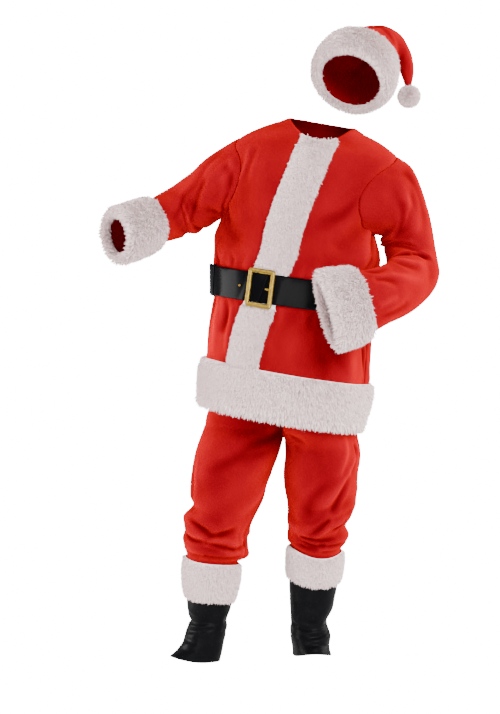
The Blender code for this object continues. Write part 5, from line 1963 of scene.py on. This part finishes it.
# ---------------- trousers and boot tops
@dataclass
class Trousers:
    """Two fronts and two backs, from the waist to where they go into the boot tops."""

    columns: int = 92
    back_columns: int = 58
    upper_rows: int = 66
    lower_rows: int = 84
    split: float = -905.0     # the shin's folds below this are finer

    def panel(self, side: Side, start: float, columns: int, name: str) -> None:
        """One panel over half a turn of the leg, with its crease-free seams drawn in.

        Args:
            side: The wearer's side.
            start: Angle of its first seam.
            columns: Columns across it.
            name: Which of the two it is.
        """
        surface = LEGS[side]
        low, high = surface.table.places[0], HIPS[-1].z
        places = np.concatenate([np.linspace(low, self.split, self.lower_rows)[:-1],
                                 np.linspace(self.split, high, self.upper_rows)])
        gap = SEWN / 2 / LEG_RADIUS
        angle, place = spread_places(
            places, np.linspace(start + gap, start + math.pi - gap, columns))
        edge = np.minimum(angle - start, start + math.pi - angle) * surface.radius
        tucked = smooth_step((place - BOOT_CUFF[side][1] - 6) / 16.0)
        points = surface.eased(angle, place, CLOTH, seam_pucker(edge, place, 5.9, 19, 10.0), tucked)
        lay_velour("trouser_%s_%s" % (name, side.value), points,
                   surface.hollows(angle, place) * tucked)

    def build(self) -> None:
        """All four panels."""
        for side in Side:
            self.panel(side, 0.0, self.columns, "front")
            self.panel(side, math.pi, self.back_columns, "back")


@dataclass
class BootTops:
    """Vinyl boot tops with plush round their upper edge."""

    columns: int = 80
    step: float = 3.8

    def top(self, side: Side) -> None:
        """One slouching vinyl tube with its back seam and a welt at its lower edge."""
        surface = BOOTS[side]
        low, high = surface.table.places[0], surface.table.places[-1]
        angle, place = all_round(
            np.linspace(low, high, round((high - low) / self.step) + 1), self.columns)
        free = 1 - smooth_step((place - BOOT_CUFF[side][0] + 10) / 14.0)
        seam = np.abs((angle - math.pi * 1.5) * BOOT_RADIUS)
        edge = place - low
        detail = free * (
            -0.8 * bell(seam, 2.2) + 0.5 * bell(edge - 3, 3.0) - 0.5 * bell(edge - 9, 1.6))
        node = "boot_top_" + side.value
        cloth = lay_cloth(node + "_vinyl", surface.eased(angle, place, VINYL, detail, free),
                          BOOT_BLACK, closed=True, thick=VINYL)
        declare(cloth, [node])

    def build(self) -> None:
        """Both of them."""
        for side in Side:
            self.top(side)
            bed = RingSurface(BOOT[side], (), (), BOOT_RADIUS)
            PlushBand("boot_" + side.value, "plush_boot_" + side.value, bed, *BOOT_CUFF[side],
                      PLUSH_BOOT, Fur(13000, 9.5, width=1.4), turned_in=0.0, base=VINYL + LIE,
                      columns=90, rows=12, seed=40 + side.sign, down=0.15).build()


# ---------------- the hat
@dataclass
class Hat:
    """The soft cone, its plush brim and its pompom."""

    columns: int = 84
    step: float = 3.6

    def cone(self) -> None:
        """The cone from inside the brim to its tip."""
        length = HAT_LINE.length
        angle, place = all_round(
            np.linspace(0.0, length, round(length / self.step) + 1), self.columns)
        back = np.abs((angle - math.pi * 1.1) * 60.0)
        seam = -1.0 * bell(back, 3.0) * np.clip((place - BRIM_HEIGHT) / 10, 0, 1)
        fade = np.clip((length - place) / 40.0, 0.1, 1.0) * np.clip((place - 60) / 30, 0, 1)
        lay_velour("hat_cone", HAT_LINE.eased(angle, place, CLOTH, seam, fade),
                   HAT_LINE.hollows(angle, place), closed=True)

    def pompom(self) -> None:
        """A ball of plush on the tip."""
        body = bmesh.new()
        bmesh.ops.create_icosphere(body, subdivisions=4, radius=POMPOM_CORE * MM)
        fur, long = (body.verts.layers.float.new(title) for title in ("fur", "long"))
        comb = body.verts.layers.float_vector.new("comb")
        for vert in body.verts:
            vert[fur] = vert[long] = 1.0
            vert[comb] = Vector((0.0, 0.0, -0.15))
        bmesh.ops.translate(body, verts=body.verts[:], vec=Vector(POMPOM) * MM)
        ball = lay_solid("hat_pompom", "_core", body, PLUSH_BACK)
        fur = Fur(10000, 13.5, width=1.3, lean=1.0, spread=0.45, clump=0.35)
        attach(fur.grow("hat_pompom_pile", ball.data, 61))

    def build(self) -> None:
        """All of the hat."""
        self.cone()
        bed = SectionSurface(HAT_LINE.rows, (), (), HAT_RADIUS)
        PlushBand("hat_brim", "hat_brim", bed, 0.0, BRIM_HEIGHT, BRIM_PLUSH,
                  Fur(29000, 13.2, width=1.6), columns=150, rows=16, seed=51, firm=0.55,
                  down=0.1).build()
        self.pompom()


# ---------------- the studio
@dataclass(frozen=True)
class FloorFinish(Finish):
    """A pale floor that looks as white as the wall, and still takes a soft shadow."""

    glow: float = 4.0

    def dress(self, tree: Tree, shader: Node) -> None:
        """Makes up, for the camera alone, what the lamps don't give."""
        seen = tree.nodes.new("ShaderNodeLightPath").outputs["Is Camera Ray"]
        feed(tree, shader, {"Emission Strength": add_math(tree, "MULTIPLY", seen, self.glow * 0.8),
                            "Emission Color": (1.0, 1.0, 1.0), "Specular IOR Level": 0.0})


@dataclass(frozen=True)
class Lamp:
    """A square soft light."""

    name: str
    at: tuple[float, float, float]
    size: float
    power: float


LAMPS = (
    Lamp("key", (2.4, -4.4, 2.2), 2.4, 620.0),
    Lamp("fill", (-1.6, -5.0, -1.4), 2.6, 230.0),
    Lamp("rim_right", (-4.2, 0.2, -0.4), 2.4, 340.0),
    Lamp("rim_left", (4.2, 1.6, 0.6), 2.8, 240.0),
)


@dataclass
class Studio:
    """A pale floor, a white surround, soft lights and the camera."""

    scale: float = 0.0026          # metres for each step of the frame
    middle: tuple[float, float, float] = (-0.182, 0.0, -0.538)
    distance: float = 6.0
    rise: float = 4.0              # degrees the camera stands above level
    floor: float = -1.405
    size: tuple[int, int] = (500, 714)
    ambient: float = 0.55
    white: float = 20.0

    def surround(self) -> None:
        """A white wall all round that lights softly, and a pale floor at the shoes' soles."""
        world = bpy.data.worlds.new("surround")
        bpy.context.scene.world = world
        world.use_nodes = True
        tree = world.node_tree
        soft = tree.nodes["Background"]
        feed(tree, soft, {"Color": (1.0, 1.0, 1.0), "Strength": self.ambient})
        wall = add_node(tree, "ShaderNodeBackground",
                        {"Color": (1.0, 1.0, 1.0), "Strength": self.white})
        seen = tree.nodes.new("ShaderNodeLightPath").outputs["Is Camera Ray"]
        mix = add_node(tree, "ShaderNodeMixShader",
                       {0: seen, 1: soft.outputs[0], 2: wall.outputs[0]})
        feed(tree, tree.nodes["World Output"], {"Surface": mix.outputs[0]})
        body = bmesh.new()
        bmesh.ops.create_grid(body, x_segments=1, y_segments=1, size=40.0)
        bmesh.ops.translate(body, verts=body.verts[:], vec=Vector((0.0, 0.0, self.floor)))
        finish = FloorFinish("pale floor", (0.93, 0.93, 0.93), 0.9, self.white)
        place_object("floor", to_mesh("floor", body, finish))

    def aim(self, name: str, data: bpy.types.ID, at: Vector) -> bpy.types.Object:
        """A lamp or camera that looks at the suit's middle."""
        obj = place_object(name, data)
        obj.location = at
        obj.rotation_euler = (Vector(self.middle) - at).to_track_quat("-Z", "Y").to_euler()
        return obj

    def light(self, lamp: Lamp) -> None:
        """One of the lamps."""
        data = bpy.data.lights.new(lamp.name, "AREA")
        data.size = lamp.size
        data.energy = lamp.power
        self.aim(lamp.name, data, Vector(lamp.at))

    def camera(self) -> None:
        """The camera, its lens worked out from the frame's height at the suit."""
        data = bpy.data.cameras.new("camera")
        data.lens = data.sensor_width * self.distance / (max(self.size) * self.scale)
        turn = math.radians(self.rise)
        away = Vector((0.0, -math.cos(turn), math.sin(turn)))
        bpy.context.scene.camera = self.aim(
            "camera", data, Vector(self.middle) + away * self.distance)

    def build(self) -> None:
        """Everything that isn't the suit."""
        self.surround()
        for lamp in LAMPS:
            self.light(lamp)
        self.camera()


def main() -> None:
    """Builds the suit, then its studio."""
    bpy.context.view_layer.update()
    for part in (Jacket(), Belt(), Trousers(), BootTops(), Hat()):
        part.build()
        log.info("done: %s", type(part).__name__)
    Studio().build()
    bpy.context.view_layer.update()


if __name__ == "__main__":
    main()
